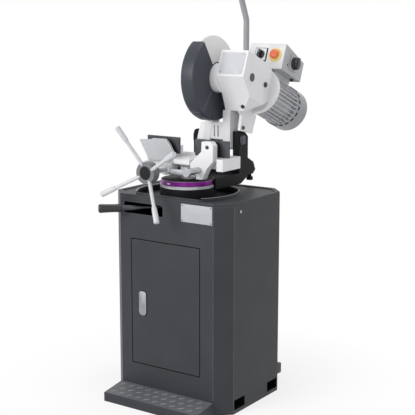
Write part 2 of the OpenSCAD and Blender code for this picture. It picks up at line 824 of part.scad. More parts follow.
// Fork flanges and web, cut off where the gearbox sits on them; the left flange leans inwards
module head_arm() color(white_paint) head_frame() difference() {
    union() {
        yz(fork_in, fork_out) fork_outline();
        intersection() {
            yz(-fork_out, -fork_in) fork_outline();
            yz(-fork_out - cut, cut - fork_in) translate([flange_back - 12, -fork_out])
                square([2 * fork_out, fork_out + 55]);
        }
        intersection() {
            yz(-fork_out, fork_in) fork_outline();
            xz(-3 * fork_out, flange_back) translate([-flange_in, 0]) polygon([[-35, -20], [0, -20], [0, 0],
                [flange_lean, 73], [flange_lean - 35, 73], [-35, 0]]);
        }
        yz(fork_in, fork_out) polygon([[-76, 71], [-86, 100], [-30, 118], [34, 118], [36, 71]]);
        yz(gear_x0, fork_out) polygon([[-86, 98], [-86, 110], [0, 180], [8, 170], [34, 110]]);
        yz(-fork_in - eps, fork_in + eps) polygon([[-38, -13], [-66.3, 52], [-55.2, 56.4], [-27.5, -8.5]]);
    }
    xbar(pin_r + run_gap, -fork_out - cut, fork_out + cut);
    yz(gear_x0, gear_x1) gear_outline();
    translate([motor_x, 0, motor_z]) ybar(flange_r, gear_back, motor_y0);
    translate([0, -blade_fwd, blade_up]) xbar(guard_r + 4, -guard_half - 3, guard_half + 3);
    for (x = [0, 18]) yz(x, x + 7) polygon([[-48, -6], [-66, 38], [-44, 44], [-28, 0]]);
}

// Ear under the gearbox, outside the right-hand cheek
module hinge_ear() color(white_paint) head_frame() difference() {
    yz(ear_x0, ear_x1) polygon([[-50, 27], [45, 42], [47, 123], [gear_back, 123], [gear_back, 176],
        [-86, 101], [-62, 90]]);
    yz(gear_x0, gear_x1) gear_outline();
}

// Gear case, open on the right for the cover, with the spindle boss on the left
module gearbox_case() color(white_paint) head_frame() difference() {
    union() {
        intersection() {
            gear_body();
            yz(gear_x0, gear_inner_x1) translate([gear_front - cut, 0]) square(3 * gear_top);
        }
        translate([0, -blade_fwd, blade_up]) xbar(boss_r, fixed_near, gear_x0 + eps);
    }
    intersection() {
        yz(gear_x0 + gear_wall, gear_inner_x1 + cut) gear_outline(gear_wall);
        xz(gear_front, gear_back) translate([gear_x1 - bevel_w, bevel_z + bevel_in])
            polygon([[bevel_w, gear_top], [-gear_x1, gear_top], [-gear_x1, -gear_top],
                [-gear_top / bevel_slope, -gear_top], [bevel_w, bevel_slope * bevel_w]]);
    }
    translate([0, -blade_fwd, blade_up]) {
        xbar(spindle_r + 4, 0, gear_x0 + cut);
        xbar(clamp_room_r, 0, blade_t / 2 + clamp_t + blade_room);
        xbar(bearing_r, spindle_bearing_x[0], gear_x0 + gear_wall + cut);
    }
    translate([motor_x, 0, motor_z]) ybar(shaft_bore, gear_back - gear_wall - cut, gear_back + cut);
}

// Side cover with the cup of the second spindle bearing
module gearbox_cover() color(white_paint) head_frame() {
    intersection() {
        gear_body();
        yz(gear_inner_x1, gear_x1) translate([gear_front - cut, 0]) square(3 * gear_top);
    }
    translate([0, -blade_fwd, blade_up])
        xtube(bearing_cup_r - 4, bearing_r, spindle_bearing_x[1], gear_inner_x1 + eps);
}

// Plug and bolt on the cover, oil plug on the lower front facet, bolt on the ear
module gearbox_plugs() color(dark_steel) head_frame() {
    translate([gear_x1, plug_y, plug_z]) xbar(plug_r, 0, 2);
    translate([gear_x1, -34, 233]) xbar(bolt_r + 3, 0, 5);
    translate([150, -100.8, 116]) rotate([90 + atan(59 / 64), 0, 0]) cylinder(r = bolt_r, h = 5);
    translate([ear_x1, -34, 44]) rotate([0, 90, 0]) cylinder(r = bolt_r, h = 6, $fn = 6);
}

// Rolling bearings of the spindle and of the motor shaft
module bearings() color(steel) {
    blade_frame() for (x = spindle_bearing_x) xtube(bearing_r, spindle_r + run_gap, x, x + bearing_w);
    motor_frame() for (y = shaft_bearing_y) ytube(shaft_bearing_r, shaft_r + run_gap, y, y + shaft_bearing_w);
}

// Round flange between the gearbox and the motor, cut flat beside the guard
module motor_flange() color(white_paint) motor_frame() difference() {
    intersection() {
        ybar(flange_r, gear_back, motor_y0);
        block([36 - motor_x, 0, -2 * flange_r], [2 * flange_r, motor_y0, box_seat]);
    }
    ybar(shaft_bore, gear_back - cut, motor_y0 + cut);
    ybar(shaft_bearing_r, shaft_bearing_y[0], motor_y0 + cut);
}

// Motor housing with its cooling fins, the pad of the control box and the spigot of the fan cover
module motor_body() color(grey_paint) motor_frame() difference() {
    union() {
        ybar(core_r, motor_y0, cover_y0);
        ybar(motor_r - 2, motor_y0, motor_y0 + 8);
        for (a = [0 : 12 : 348]) rotate([0, a, 0])
            block([-1.6, motor_y0 + 8 - eps, core_r - 2], [1.6, cover_y0 - 6, motor_r]);
        ybar(cover_r - 3, cover_y0 - 6, cover_y0 + spigot_l);
        block([-50, motor_y0 + 8, core_r / 2], [50, box_y0 + box_d - 12, box_seat]);
    }
    ybar(stator_r, motor_y0 - cut, shaft_bearing_y[1] - 4);
    ybar(shaft_bearing_r, shaft_bearing_y[1], cover_y0 + spigot_l + cut);
    ybar(shaft_bore, motor_y0, cover_y0);
}

module motor_stator() color("#8a5a2c") motor_frame() ytube(stator_r, rotor_r + air_gap, stack_y0, stack_y1);

// Fan cover with air holes in its end
module fan_cover() color(grey_paint) motor_frame() difference() {
    union() {
        ybar(cover_r, cover_y0, cover_y1 - 16);
        translate([0, cover_y1 - 16 - eps, 0]) rotate([-90, 0, 0])
            cylinder(r1 = cover_r, r2 = cover_r - 12, h = 16);
    }
    ybar(cover_r - 3, cover_y0 - cut, cover_y1 - 16);
    ybar(cover_r - 16, cover_y0, cover_y1 - 4);
    for (r = [30 : 16 : 62], a = [0 : 30 : 330]) rotate([0, a, 0])
        translate([r, 0, 0]) ybar(3.5, cover_y1 - 6, cover_y1 + cut);
}

// Switch box on top of the motor, its lid sloping down to the back
module control_box() color(grey_paint) head_frame() difference() {
    yz(box_x0, box_x1) polygon([[box_y0, box_z0], [box_y0, box_z0 + box_h],
        [box_y0 + box_d, box_z0 + box_top_back], [box_y0 + box_d, box_z0]]);
    yz(box_x0 + box_wall, box_x1 - box_wall) polygon([[box_y0 + box_wall, box_z0 + box_wall],
        [box_y0 + box_wall, box_z0 + box_h - 2 * box_wall],
        [box_y0 + box_d - box_wall, box_z0 + box_top_back - box_wall],
        [box_y0 + box_d - box_wall, box_z0 + box_wall]]);
    translate([estop_x, box_y0, estop_z]) ybar(estop_stem + pass_gap, -cut, box_wall + cut);
    translate([selector_x, box_y0, selector_z]) ybar(knob_stem + run_gap, -cut, box_wall + cut);
    translate([box_x1, switch_y, switch_z]) xbar(knob_stem + run_gap, -box_wall - cut, cut);
}

// Seats of the selector, the emergency stop and the main switch
module switch_plates() color(steel) head_frame() {
    translate([selector_x, box_y0, selector_z]) difference() {
        block([-selector_plate / 2, -seat_t, -selector_plate / 2],
            [selector_plate / 2, 0, selector_plate / 2]);
        ybar(knob_stem + run_gap, -seat_t - cut, cut);
    }
    translate([estop_x, box_y0, estop_z]) ytube(estop_ring_r, estop_stem + pass_gap, -seat_t, 0);
    translate([box_x1, switch_y, switch_z]) difference() {
        block([0, -switch_plate / 2, -switch_plate / 2], [seat_t, switch_plate / 2, switch_plate / 2]);
        xbar(knob_stem + run_gap, -cut, seat_t + cut);
    }
}

module estop_button() color(stop_red) head_frame() translate([estop_x, box_y0, estop_z]) {
    ybar(estop_stem, eps - seat_t - estop_rise, box_wall + 8);
    ybar(estop_r, -seat_t - estop_rise, estop_cap - seat_t - estop_rise);
}

module selector_knob() color(black_plastic) head_frame()
    translate([selector_x, box_y0 - seat_t - pass_gap, selector_z]) {
        ybar(knob_stem, -eps, seat_t + box_wall + 8);
        ybar(selector_r, -knob_base, 0);
        block([-6, -knob_t, -selector_r], [6, eps - knob_base, selector_r]);
    }

module main_switch() color(black_plastic) head_frame()
    translate([box_x1 + seat_t + pass_gap, switch_y, switch_z]) {
        xbar(knob_stem, -seat_t - box_wall - 8, eps);
        xbar(switch_r, 0, knob_base);
        block([knob_base - eps, -7, -switch_r], [knob_t, 7, switch_r]);
    }

// Fixed guard over the top and back of the blade, with the pivot stub of the front guard on its left
module guard_upper() color(white_paint) blade_frame() difference() {
    union() {
        difference() {
            intersection() {
                xbar(fixed_r, -fixed_half, fixed_near);
                yz(-fixed_half - cut, fixed_near + cut) slice(fixed_r, fixed_from, fixed_to);
            }
            xbar(fixed_r - guard_wall, guard_wall - fixed_half, fixed_near - guard_wall);
        }
        xbar(boss_r, fixed_near - guard_wall, fixed_near);
        xbar(boss_r, -fixed_half, guard_wall - fixed_half);
        xbar(stub_r, -guard_half - 2, eps - fixed_half);
    }
    xbar(clamp_room_r, 0, guard_half);
}

// Dark skin over the lower back of the fixed guard
module guard_rear() color(dark_guard) blade_frame() difference() {
    guard_shell(guard_r, fixed_r, guard_half, fixed_half, rear_from, rear_to, rim_chamfer_x, rim_chamfer_r);
    xbar(hub_plate_r + 2, -guard_half - cut, guard_half + cut);
}

// Front guard that turns back about the blade axis, on the spindle boss and on the left stub
module guard_front() color(dark_guard) blade_frame() difference() {
    union() {
        guard_shell(guard_r, guard_in, guard_half, guard_half - guard_wall, seam_low, seam_top, rim_chamfer_x,
            rim_chamfer_r);
        xbar(hub_plate_r, guard_half - guard_wall, guard_half);
        xbar(stub_plate_r, -guard_half, guard_wall - guard_half);
    }
    xbar(boss_r + run_gap, 0, guard_half + cut);
    xbar(stub_r + run_gap, -guard_half - cut, 0);
}

// Bent feed lever on a foot on top of the gearbox
module feed_lever() color(steel) {
    head_frame() translate([lever_x, foot_y, gear_top]) cylinder(r = foot_r, h = foot_h);
    translate([lever_x, lever_y, hinge_z + lever_z0])
        cylinder(d = lever_d, h = lever_bend_z - hinge_z - lever_z0);
    translate([lever_x, lever_y, lever_bend_z]) sphere(d = lever_d);
    lever_frame() cylinder(d = lever_d, h = lever_top_l - grip_len + rod_in_grip);
}

module lever_grip() color(black_plastic) lever_frame() difference() {
    translate([0, 0, lever_top_l - grip_len]) cylinder(r = lever_grip_r, h = grip_len);
    translate([0, 0, lever_top_l - grip_len - cut]) cylinder(d = lever_d, h = rod_in_grip + cut);
    translate([0, 0, lever_top_l - button_depth]) cylinder(r = button_r + button_gap, h = button_depth + cut);
}

module grip_button() color(stop_red) lever_frame()
    translate([0, 0, lever_top_l + button_proud - button_l]) cylinder(r = button_r, h = button_l);

module saw_blade() color("#c6c8cb") blade_frame() xtube(blade_r, spindle_r, -blade_t / 2, blade_t / 2);

// Outer clamping flange with its nut
module blade_clamp() color(steel) blade_frame() {
    xtube(clamp_r, spindle_r, -blade_t / 2 - clamp_t, -blade_t / 2);
    translate([-blade_t / 2 - clamp_t - clamp_nut_t, 0, 0]) rotate([0, 90, 0])
        difference() {
            cylinder(r = clamp_nut_r, h = clamp_nut_t + eps, $fn = 6);
            translate([0, 0, 3]) cylinder(r = spindle_r, h = clamp_nut_t);
        }
}

// Spindle with the inner clamping flange
module spindle() color(steel) blade_frame() {
    xbar(spindle_r, 3 - blade_t / 2 - clamp_t - clamp_nut_t, spindle_bearing_x[1] + bearing_w);
    xbar(clamp_r, blade_t / 2, blade_t / 2 + clamp_t);
}

// A toothed wheel about X: a disc with square tooth gaps
module toothed(r, x0, x1, teeth, depth) difference() {
    xbar(r, x0, x1);
    for (k = [0 : teeth - 1]) rotate([360 * k / teeth, 0, 0])
        block([x0 - cut, -PI * r / teeth / 2, r - depth], [x1 + cut, PI * r / teeth / 2, r + cut]);
}

module crown_wheel() color("#b08a4a") blade_frame() difference() {
    toothed(crown_r, crown_x1 - crown_w, crown_x1, 36, 3);
    xbar(spindle_r, 0, gear_x1);
}

// Motor shaft with the rotor core, and the pinion in front
module motor_shaft() color(steel) motor_frame() {
    ybar(shaft_r, pinion_y0 + pinion_l - eps, cover_y1 - 14);
    ybar(rotor_r, stack_y0, stack_y1);
    ybar(pinion_r, pinion_y0, pinion_y0 + pinion_l);
}

// Fan with six blades, on the back end of the motor shaft
module motor_fan() color(black_plastic) motor_frame() difference() {
    union() {
        ybar(shaft_bearing_r, cover_y0 + 12, cover_y0 + 48);
        for (a = [0 : 60 : 300]) rotate([0, a, 0])
            block([-1.5, cover_y0 + 16, 0], [1.5, cover_y0 + 44, cover_r - 20]);
    }
    ybar(shaft_r, cover_y0, cover_y1);
}

// Vise bed on the centre post, with a relief for the blade and a bearing for the screw
module vise_bed() color(white_paint) difference() {
    union() {
        block([-bed_half, slot_back, bed_z], [bed_half, bed_back, bed_top]);
        block([block_x0, bed_front, bed_top - block_t], [block_x1, slot_back + eps, bed_top]);
        block([finger_x0, bed_front, bed_z], [bed_half, slot_back + eps, bed_top]);
        for (m = [0, 1]) mirror([m, 0, 0]) block([fence_gap + 6, fence_face + fence_t, bed_top - eps],
            [fence_web_x, fence_face + fence_t + fence_web, bed_top + fence_web_h]);
        swivel_frame() translate([0, 0, post_top]) cylinder(r = post_r, h = bed_z - post_top + eps);
        block([screw_x - bearing_half, bearing_y0, screw_z - 22],
            [screw_x + bearing_half, bearing_y1, bed_z + eps]);
    }
    swivel_frame() translate([0, 0, bed_top - recess_d]) cylinder(r = recess_r, h = recess_d + eps);
    screw_frame() {
        ybar(screw_r + 4, bed_front - cut, bearing_y0);
        ybar(screw_r + run_gap, bearing_y0 - cut, bearing_y1 + cut);
        ybar(screw_r + 9, bearing_y1, bed_back + cut);
    }
}

module fence_plates() color(dark_steel) for (m = [0, 1]) mirror([m, 0, 0])
    block([fence_gap, fence_face, bed_top], [bed_half - 3, fence_face + fence_t, bed_top + fence_h]);

// Slide with the screw's nut and the tie rod to the right-hand jaw
module jaw_slide() color(grey_paint) difference() {
    union() {
        block([stem_x0, slide_front, slide_z0], [slide_x1, slide_back, slide_z1]);
        screw_frame() ybar(nut_r, slide_front - nut_l, slide_front + eps);
        translate([0, tie_y, tie_z]) xbar(tie_r, slide_x1 - eps, right_foot);
    }
    screw_frame() ybar(screw_r + run_gap, slide_front - nut_l - cut, jaw_face);
}

// Left jaw, sloped on its right so that the blade clears it on mitre cuts
module left_jaw() color(grey_paint) xz(jaw_face - jaw_t, jaw_face) polygon([[-224, bed_top + 50],
    [-162, bed_top + 54], [-156, bed_top + 59], [-92, bed_top + 60], [-78, bed_top + 50], [-66, bed_top + 34],
    [-53, bed_top + 12], [-53, bed_top], [-62, bed_top - 8], [-106, slide_z1], [stem_x0, slide_z1]]);

// Right jaw bracket, with a wing beside the bed's middle and a push rod in front
module right_jaw() color(white_paint) {
    xz(right_front, jaw_face) polygon([[right_x0 + 56, right_top], [right_x1 - 12, right_top],
        [right_x1, right_top - 14], [right_x1, bed_z + 36], [right_x1 - 28, bed_z + 6],
        [right_x1 - 50, right_z0], [right_foot, right_z0], [right_foot, tie_z + tie_r + 2],
        [right_x0, tie_z + tie_r + 10], [right_x0, bed_z + 22], [right_x0 + 54, bed_z + 73]]);
    translate([push_x, right_front, push_z]) {
        ybar(push_r, -push_l, eps);
        ybar(push_cap_r, -push_l - push_cap_l, eps - push_l);
    }
}

// Vise screw in its bearing, with a collar in front and a nut behind
module vise_screw() color(steel) screw_frame() {
    ybar(screw_r, hub_back - eps, bearing_y1 + 18);
    ybar(screw_r + 3, bearing_y0 - pass_gap - collar_t, bearing_y0 - pass_gap);
    ybar(screw_r + 6, bearing_y1 + pass_gap, bearing_y1 + 14);
}

// Hub of the star wheel
module star_hub() color(grey_paint) screw_frame() difference() {
    union() {
        ybar(star_r, hub_front, hub_back);
        ybar(star_neck_r, hub_back - eps, hub_back + star_neck_l);
    }
    ybar(screw_r, hub_back - eps, hub_back + star_neck_l + cut);
    ybar(star_cap_r, hub_front - cut, hub_front + star_cap_d);
    for (k = [0 : 3]) star_spoke(k) cylinder(r = spoke_r0, h = star_r + 4);
}

// Direction of one spoke, out from the hub and leaning towards the operator
module star_spoke(k) translate([0, star_y, 0]) rotate([0, 90 - spoke_angle - 90 * k, 0])
    rotate([spoke_dish, 0, 0]) translate([0, 0, spoke_root]) children();

module star_spokes() color(white_paint) screw_frame() for (k = [0 : 3]) star_spoke(k) {
    cylinder(r = spoke_r0, h = spoke_rod_l);
    translate([0, 0, spoke_rod_l - eps]) cylinder(r1 = spoke_r0, r2 = spoke_r1,
        h = spoke_reach / cos(spoke_dish) - spoke_root - spoke_rod_l);
}

base_plate();
fork_channels();
corner_posts();
cabinet_front();
side_panels();
cabinet_back();
top_tray();
step_plate();
door_hinges();
mains_inlet();
coolant_tank();
coolant_pump();
base_casting();
scale_ring();
center_post();
vise_bed();
fence_plates();
door();
door_pull();
swivel_ring();
swivel_arm();
yoke_cheeks();
rear_lug();
hinge_pin();
return_spring();
lock_lever();
lock_grip();
head_arm();
hinge_ear();
gearbox_case();
gearbox_cover();
gearbox_plugs();
bearings();
motor_flange();
motor_body();
motor_stator();
fan_cover();
control_box();
switch_plates();
guard_upper();
guard_rear();
feed_lever();
lever_grip();
guard_front();
saw_blade();
blade_clamp();
spindle();
crown_wheel();
motor_shaft();
motor_fan();
jaw_slide();
left_jaw();
right_jaw();
vise_screw();
star_hub();
star_spokes();
estop_button();
selector_knob();
main_switch();
grip_button();
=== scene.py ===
"""Cold saw on a cabinet stand: its finishes and fine detail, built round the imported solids.

The frame is the part's own: metres, +X to the operator's right, +Y to the back and +Z up.
Sizes are written in millimetres, and mm() turns them to metres.
"""

import json
import math

import bmesh
import bpy
from mathutils import Matrix, Vector


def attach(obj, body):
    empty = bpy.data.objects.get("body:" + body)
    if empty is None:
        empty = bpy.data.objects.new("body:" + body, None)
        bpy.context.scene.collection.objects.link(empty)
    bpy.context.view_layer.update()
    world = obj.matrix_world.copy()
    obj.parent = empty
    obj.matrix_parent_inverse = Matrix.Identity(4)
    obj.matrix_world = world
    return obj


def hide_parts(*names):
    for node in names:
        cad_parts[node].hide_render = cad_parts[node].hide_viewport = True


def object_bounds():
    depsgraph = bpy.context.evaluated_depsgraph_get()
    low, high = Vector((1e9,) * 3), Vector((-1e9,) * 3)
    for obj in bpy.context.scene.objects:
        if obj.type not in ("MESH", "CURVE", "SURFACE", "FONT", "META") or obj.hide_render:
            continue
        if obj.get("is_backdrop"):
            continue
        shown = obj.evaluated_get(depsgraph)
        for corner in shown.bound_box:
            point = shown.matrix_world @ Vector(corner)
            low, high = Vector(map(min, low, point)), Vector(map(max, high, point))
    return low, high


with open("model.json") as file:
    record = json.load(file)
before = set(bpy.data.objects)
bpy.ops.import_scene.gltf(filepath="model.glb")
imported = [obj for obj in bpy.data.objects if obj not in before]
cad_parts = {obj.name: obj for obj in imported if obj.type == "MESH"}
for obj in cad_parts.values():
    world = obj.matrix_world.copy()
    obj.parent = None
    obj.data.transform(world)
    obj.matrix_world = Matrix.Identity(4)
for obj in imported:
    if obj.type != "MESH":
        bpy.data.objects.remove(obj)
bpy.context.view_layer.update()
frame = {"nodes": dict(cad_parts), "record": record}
nodes = frame["nodes"]
body_of = {n: body for body, members in frame["record"]["behaviour"]["bodies"].items() for n in members}


def mm(*values):
    """Millimetres to metres: one value, or a point."""
    metres = [v / 1000 for v in values]
    return metres[0] if len(metres) == 1 else Vector(metres)


# Driving sizes of the saw, in millimetres and degrees

HINGE = mm(0, 152, 1062)
HEAD_TILT = 22
BLADE_FORWARD = 150
BLADE_UP = 218
BLADE_RADIUS = 157.5
BLADE_THICK = 2.5
GUARD_RADIUS = 178
GUARD_HALF = 31
GEAR_FRONT = -206
GEAR_TOP = 319
MOTOR_X = 125
MOTOR_Z = 224
SWIVEL_Y = -75
SCALE_RADIUS = 113.5
SCREW_X = -60
SCREW_Z = 962
HUB_FRONT = -281
SPOKE_ANGLE = 28
SPOKE_DISH = 19
SPOKE_REACH = 205
BOX_SIZE = (175, 110)
BOX_MIDDLE = (132.5, 375)
BOX_FRONT = 18

# Frames of the moving groups, at rest

head_frame = Matrix.Translation(HINGE) @ Matrix.Rotation(math.radians(-HEAD_TILT), 4, "X")
blade_frame = head_frame @ Matrix.Translation(mm(0, -BLADE_FORWARD, BLADE_UP))
motor_frame = head_frame @ Matrix.Translation(mm(MOTOR_X, 0, MOTOR_Z))
to_front = Matrix.Rotation(math.radians(90), 4, "X")
to_back = Matrix.Rotation(math.radians(-90), 4, "X")
to_right = Matrix.Rotation(math.radians(90), 4, "Y")
to_left = Matrix.Rotation(math.radians(-90), 4, "Y")


def at(*point):
    """A move to a point given in millimetres."""
    return Matrix.Translation(mm(*point))


def turn(degrees, axis):
    """A turn about one axis, in degrees."""
    return Matrix.Rotation(math.radians(degrees), 4, axis)


# Finishes

def linear(code):
    """An sRGB hex colour as linear red, green, blue and alpha."""
    parts = [int(code[i:i + 2], 16) / 255 for i in (0, 2, 4)]
    return [c / 12.92 if c <= 0.04045 else ((c + 0.055) / 1.055) ** 2.4 for c in parts] + [1.0]


def cells(size):
    """Texture scale at which one cell of a pattern is this many millimetres wide."""
    return 1000 / size


def add(tree, kind, inputs, **settings):
    """Adds a shader node with its settings; an input takes a value, or a socket that feeds it."""
    node = tree.nodes.new("ShaderNode" + kind)
    for name, value in settings.items():
        setattr(node, name, value)
    for name, value in inputs.items():
        if isinstance(value, bpy.types.NodeSocket):
            tree.links.new(value, node.inputs[name])
        else:
            node.inputs[name].default_value = value
    return node


def new_finish(name, **sockets):
    """A material with fixed values on its shader; gives it, its tree, its shader and its coordinates."""
    material = bpy.data.materials.new(name)
    material.use_nodes = True
    tree = material.node_tree
    shader = tree.nodes["Principled BSDF"]
    for socket, value in sockets.items():
        shader.inputs[socket.replace("_", " ")].default_value = value
    return material, tree, shader, add(tree, "TexCoord", {}).outputs["Object"]


def blend_colours(tree, factor, low, high, start=0.3, end=0.7):
    """A ramp between two hex colours."""
    ramp = add(tree, "ValToRGB", {"Fac": factor})
    for element, place, code in zip(ramp.color_ramp.elements, (start, end), (low, high)):
        element.position = place
        element.color = linear(code)
    return ramp.outputs["Color"]


# Cosine between the rounded and the true normal where an edge's wear and painted highlight start, and where
# they are full
EDGE_PALING_STARTS = 0.98
EDGE_PALING_FULL = 0.84


def edge_paling_mask(tree, width):
    """White along edges where a rounded normal leaves the true one: wear, and a painted highlight on folds
    and corners.
    """
    rounded = add(tree, "Bevel", {"Radius": mm(width)}, samples=6)
    true = add(tree, "NewGeometry", {})
    along = add(tree, "VectorMath", {0: rounded.outputs["Normal"], 1: true.outputs["Normal"]},
                operation="DOT_PRODUCT")
    wear_and_highlight = add(tree, "MapRange", {"Value": along.outputs["Value"], "From Min": EDGE_PALING_STARTS,
                                  "From Max": EDGE_PALING_FULL})
    return wear_and_highlight.outputs[0]


def painted(name, colour, deep, wear_and_highlight, roughness, grain, depth, skin, coat=0.0, edge=1.2, gloss=0.5):
    """Sprayed paint: the colour drifts a little, a grain breaks the gloss, and edges pale with wear and
    painted highlight.
    """
    material, tree, shader, place = new_finish(name, IOR=1.5, Specular_IOR_Level=gloss, Coat_Weight=coat,
                                               Coat_Roughness=0.12)
    drift = add(tree, "TexNoise", {"Vector": place, "Scale": cells(140), "Detail": 3.0})
    base = blend_colours(tree, drift.outputs["Fac"], deep, colour)
    rubbed = add(tree, "TexNoise", {"Vector": place, "Scale": cells(9), "Detail": 4.0})
    edges = add(tree, "Math", {0: edge_paling_mask(tree, edge), 1: rubbed.outputs["Fac"]}, operation="MULTIPLY")
    tint = add(tree, "MixRGB", {"Fac": edges.outputs["Value"], "Color1": base, "Color2": linear(wear_and_highlight)})
    tree.links.new(tint.outputs["Color"], shader.inputs["Base Color"])
    sheen = add(tree, "MapRange", {"Value": rubbed.outputs["Fac"], "To Min": roughness - 0.06,
                                   "To Max": roughness + 0.08})
    tree.links.new(sheen.outputs[0], shader.inputs["Roughness"])
    fine = add(tree, "TexNoise", {"Vector": place, "Scale": cells(grain), "Detail": 2.0})
    slow = add(tree, "TexNoise", {"Vector": place, "Scale": cells(skin), "Detail": 2.0})
    height = add(tree, "Math", {0: fine.outputs["Fac"], 1: slow.outputs["Fac"]}, operation="ADD")
    bump = add(tree, "Bump", {"Height": height.outputs["Value"], "Strength": 0.5, "Distance": mm(depth)})
    tree.links.new(bump.outputs["Normal"], shader.inputs["Normal"])
    return material


def metal(name, colour, deep, roughness, lathe_line, stretch, depth):
    """Cut metal: fine parallel tool lines that catch the light, a little darker where oil has stayed."""
    material, tree, shader, place = new_finish(name, Metallic=1.0)
    oil = add(tree, "TexNoise", {"Vector": place, "Scale": cells(45), "Detail": 4.0})
    tree.links.new(blend_colours(tree, oil.outputs["Fac"], deep, colour), shader.inputs["Base Color"])
    lines = add(tree, "Mapping", {"Vector": place, "Scale": stretch})
    cut = add(tree, "TexNoise", {"Vector": lines.outputs["Vector"], "Scale": cells(lathe_line),
                                 "Detail": 2.0})
    sheen = add(tree, "MapRange", {"Value": cut.outputs["Fac"], "To Min": roughness - 0.08,
                                   "To Max": roughness + 0.10})
    tree.links.new(sheen.outputs[0], shader.inputs["Roughness"])
    bump = add(tree, "Bump", {"Height": cut.outputs["Fac"], "Strength": 0.35, "Distance": mm(depth)})
    tree.links.new(bump.outputs["Normal"], shader.inputs["Normal"])
    return material


def moulded(name, colour, deep, roughness, grain, depth, gloss=0.5):
    """Injection-moulded plastic: an even colour, and the fine spark-eroded grain of the tool."""
    material, tree, shader, place = new_finish(name, IOR=1.52, Specular_IOR_Level=gloss)
    drift = add(tree, "TexNoise", {"Vector": place, "Scale": cells(60), "Detail": 2.0})
    tree.links.new(blend_colours(tree, drift.outputs["Fac"], deep, colour), shader.inputs["Base Color"])
    spark = add(tree, "TexVoronoi", {"Vector": place, "Scale": cells(grain)})
    sheen = add(tree, "MapRange", {"Value": spark.outputs["Distance"], "To Min": roughness - 0.05,
                                   "To Max": roughness + 0.08})
    tree.links.new(sheen.outputs[0], shader.inputs["Roughness"])
    bump = add(tree, "Bump", {"Height": spark.outputs["Distance"], "Strength": 0.3, "Distance": mm(depth)})
    tree.links.new(bump.outputs["Normal"], shader.inputs["Normal"])
    return material


finish = {
    # Powder coat on sheet steel: a dull, faintly pebbled anthracite, with pebbles coarser than life; its wide
    # pale edges are painted highlight as well as wear
    "anthracite_paint": painted("anthracite_powder_coat", "37393D", "323438", "76787D", 0.46, 1.6, 0.12, 30,
                                edge=3.0, gloss=0.25),
    # The same coat in a lighter grey, scuffed by boots
    "step_paint": painted("grey_scuffed_tread_paint", "64666A", "5A5C60", "8A8C90", 0.50, 2.0, 0.15, 12,
                          edge=2.5),
    # Black enamel on a sand casting: the sand's skin shows through as a slow ripple
    "black_casting": painted("black_enamel_on_cast_iron", "1C1D20", "161719", "3A3B3E", 0.45, 3.0, 0.25, 14,
                             gloss=0.10),
    # White two-pack paint on castings, smooth and slightly glossy
    "white_paint": painted("white_paint_on_castings", "E6E6E8", "DDDDE0", "F0F0F1", 0.33, 4.0, 0.10, 22,
                           coat=0.25),
    # Light grey paint of the motor and of the star wheel
    "grey_paint": painted("light_grey_motor_paint", "C9CACD", "BEBFC3", "DADBDD", 0.36, 3.0, 0.12, 18,
                          coat=0.15),
    # Dark blue-grey semi-gloss paint of the blade guards
    "dark_guard_paint": painted("slate_guard_paint", "3B3F47", "353941", "666B75", 0.34, 4.0, 0.08, 26,
                                gloss=0.28),
    # Violet dye under a clear anodic skin on turned aluminium: bright streaks round the ring
    "violet_anodised": metal("violet_anodised_aluminium", "84308C", "5E1E66", 0.28, 1.5, (1, 1, 8), 0.03),
    # Turned and ground steel, bright and slightly streaked
    "brushed_steel": metal("turned_bright_steel", "C4C6C9", "A9ABAF", 0.30, 1.2, (1, 6, 1), 0.03),
    # Blackened steel of the fence plates and bolts
    "dark_steel": metal("blackened_steel", "54565A", "404246", 0.42, 1.5, (6, 1, 1), 0.04),
    # Cut bronze of the crown wheel
    "bronze": metal("cut_bronze", "C39A55", "9C7536", 0.32, 1.2, (1, 6, 1), 0.03),
    # Varnished copper winding and laminations
    "copper_winding": metal("varnished_copper_winding", "B06A35", "8A4E24", 0.38, 1.0, (1, 8, 1), 0.08),
    # Light grey moulded case of the controls
    "grey_plastic": moulded("light_grey_abs", "B0B1B5", "A9AAAE", 0.42, 1.2, 0.05),
    # Satin aluminium of plates, and the pale band on the ring's top edge, which is a painted highlight
    "plate_metal": metal("satin_aluminium", "C9CACD", "B7B9BC", 0.38, 1.2, (1, 1, 7), 0.03),
    # Black moulded plastic of knobs and grips
    "black_plastic": moulded("black_polyamide", "1E1E21", "17171A", 0.40, 1.4, 0.06),
    # Signal red-orange plastic of the stop and of the trigger
    "red_plastic": moulded("signal_red_abs", "E8764A", "DF6C40", 0.30, 1.6, 0.03),
}
# Yellow ring under the emergency stop
yellow_plastic = moulded("signal_yellow_abs", "F1DC94", "ECD384", 0.34, 1.6, 0.03)
# White enamelled plate, bare; the small white plate on the ring is a painted highlight
white_plate = moulded("white_enamel_plate", "C4C5CA", "BFC0C5", 0.55, 2.0, 0.02)
# Silver-grey film of the cabinet's plate
label_film = moulded("silver_grey_label_film", "ADAEB4", "A7A8AE", 0.45, 1.6, 0.02)
# White front panel of the control box
white_panel = moulded("white_front_panel", "E4E5E6", "DFE0E1", 0.40, 2.0, 0.02)
# Tops of the tread bars, rubbed pale by boots; the same pale paint laid on the lip's top is a painted
# highlight
wear_and_highlight_tread = painted("wear_and_highlight_tread_paint", "8E9094", "7E8084", "A8AAAE", 0.46, 2.0, 0.15, 12, edge=2.0)
# Satin grey of the feed lever and of the fan cover
satin_grey = painted("satin_grey_paint", "9A9B9F", "8F9094", "B2B3B7", 0.34, 3.0, 0.08, 20, gloss=0.4)
# Pale strip beside the guard's seams: a painted highlight on the seam's edge
seam_highlight_paint = painted("painted_guard_seam_highlight", "7E838C", "747982", "9A9FA8", 0.36, 3.0, 0.06, 20)
# Die-cast zinc of the door pull
cast_zinc = metal("satin_cast_zinc", "A2A3A7", "909195", 0.44, 2.0, (1, 1, 4), 0.04)
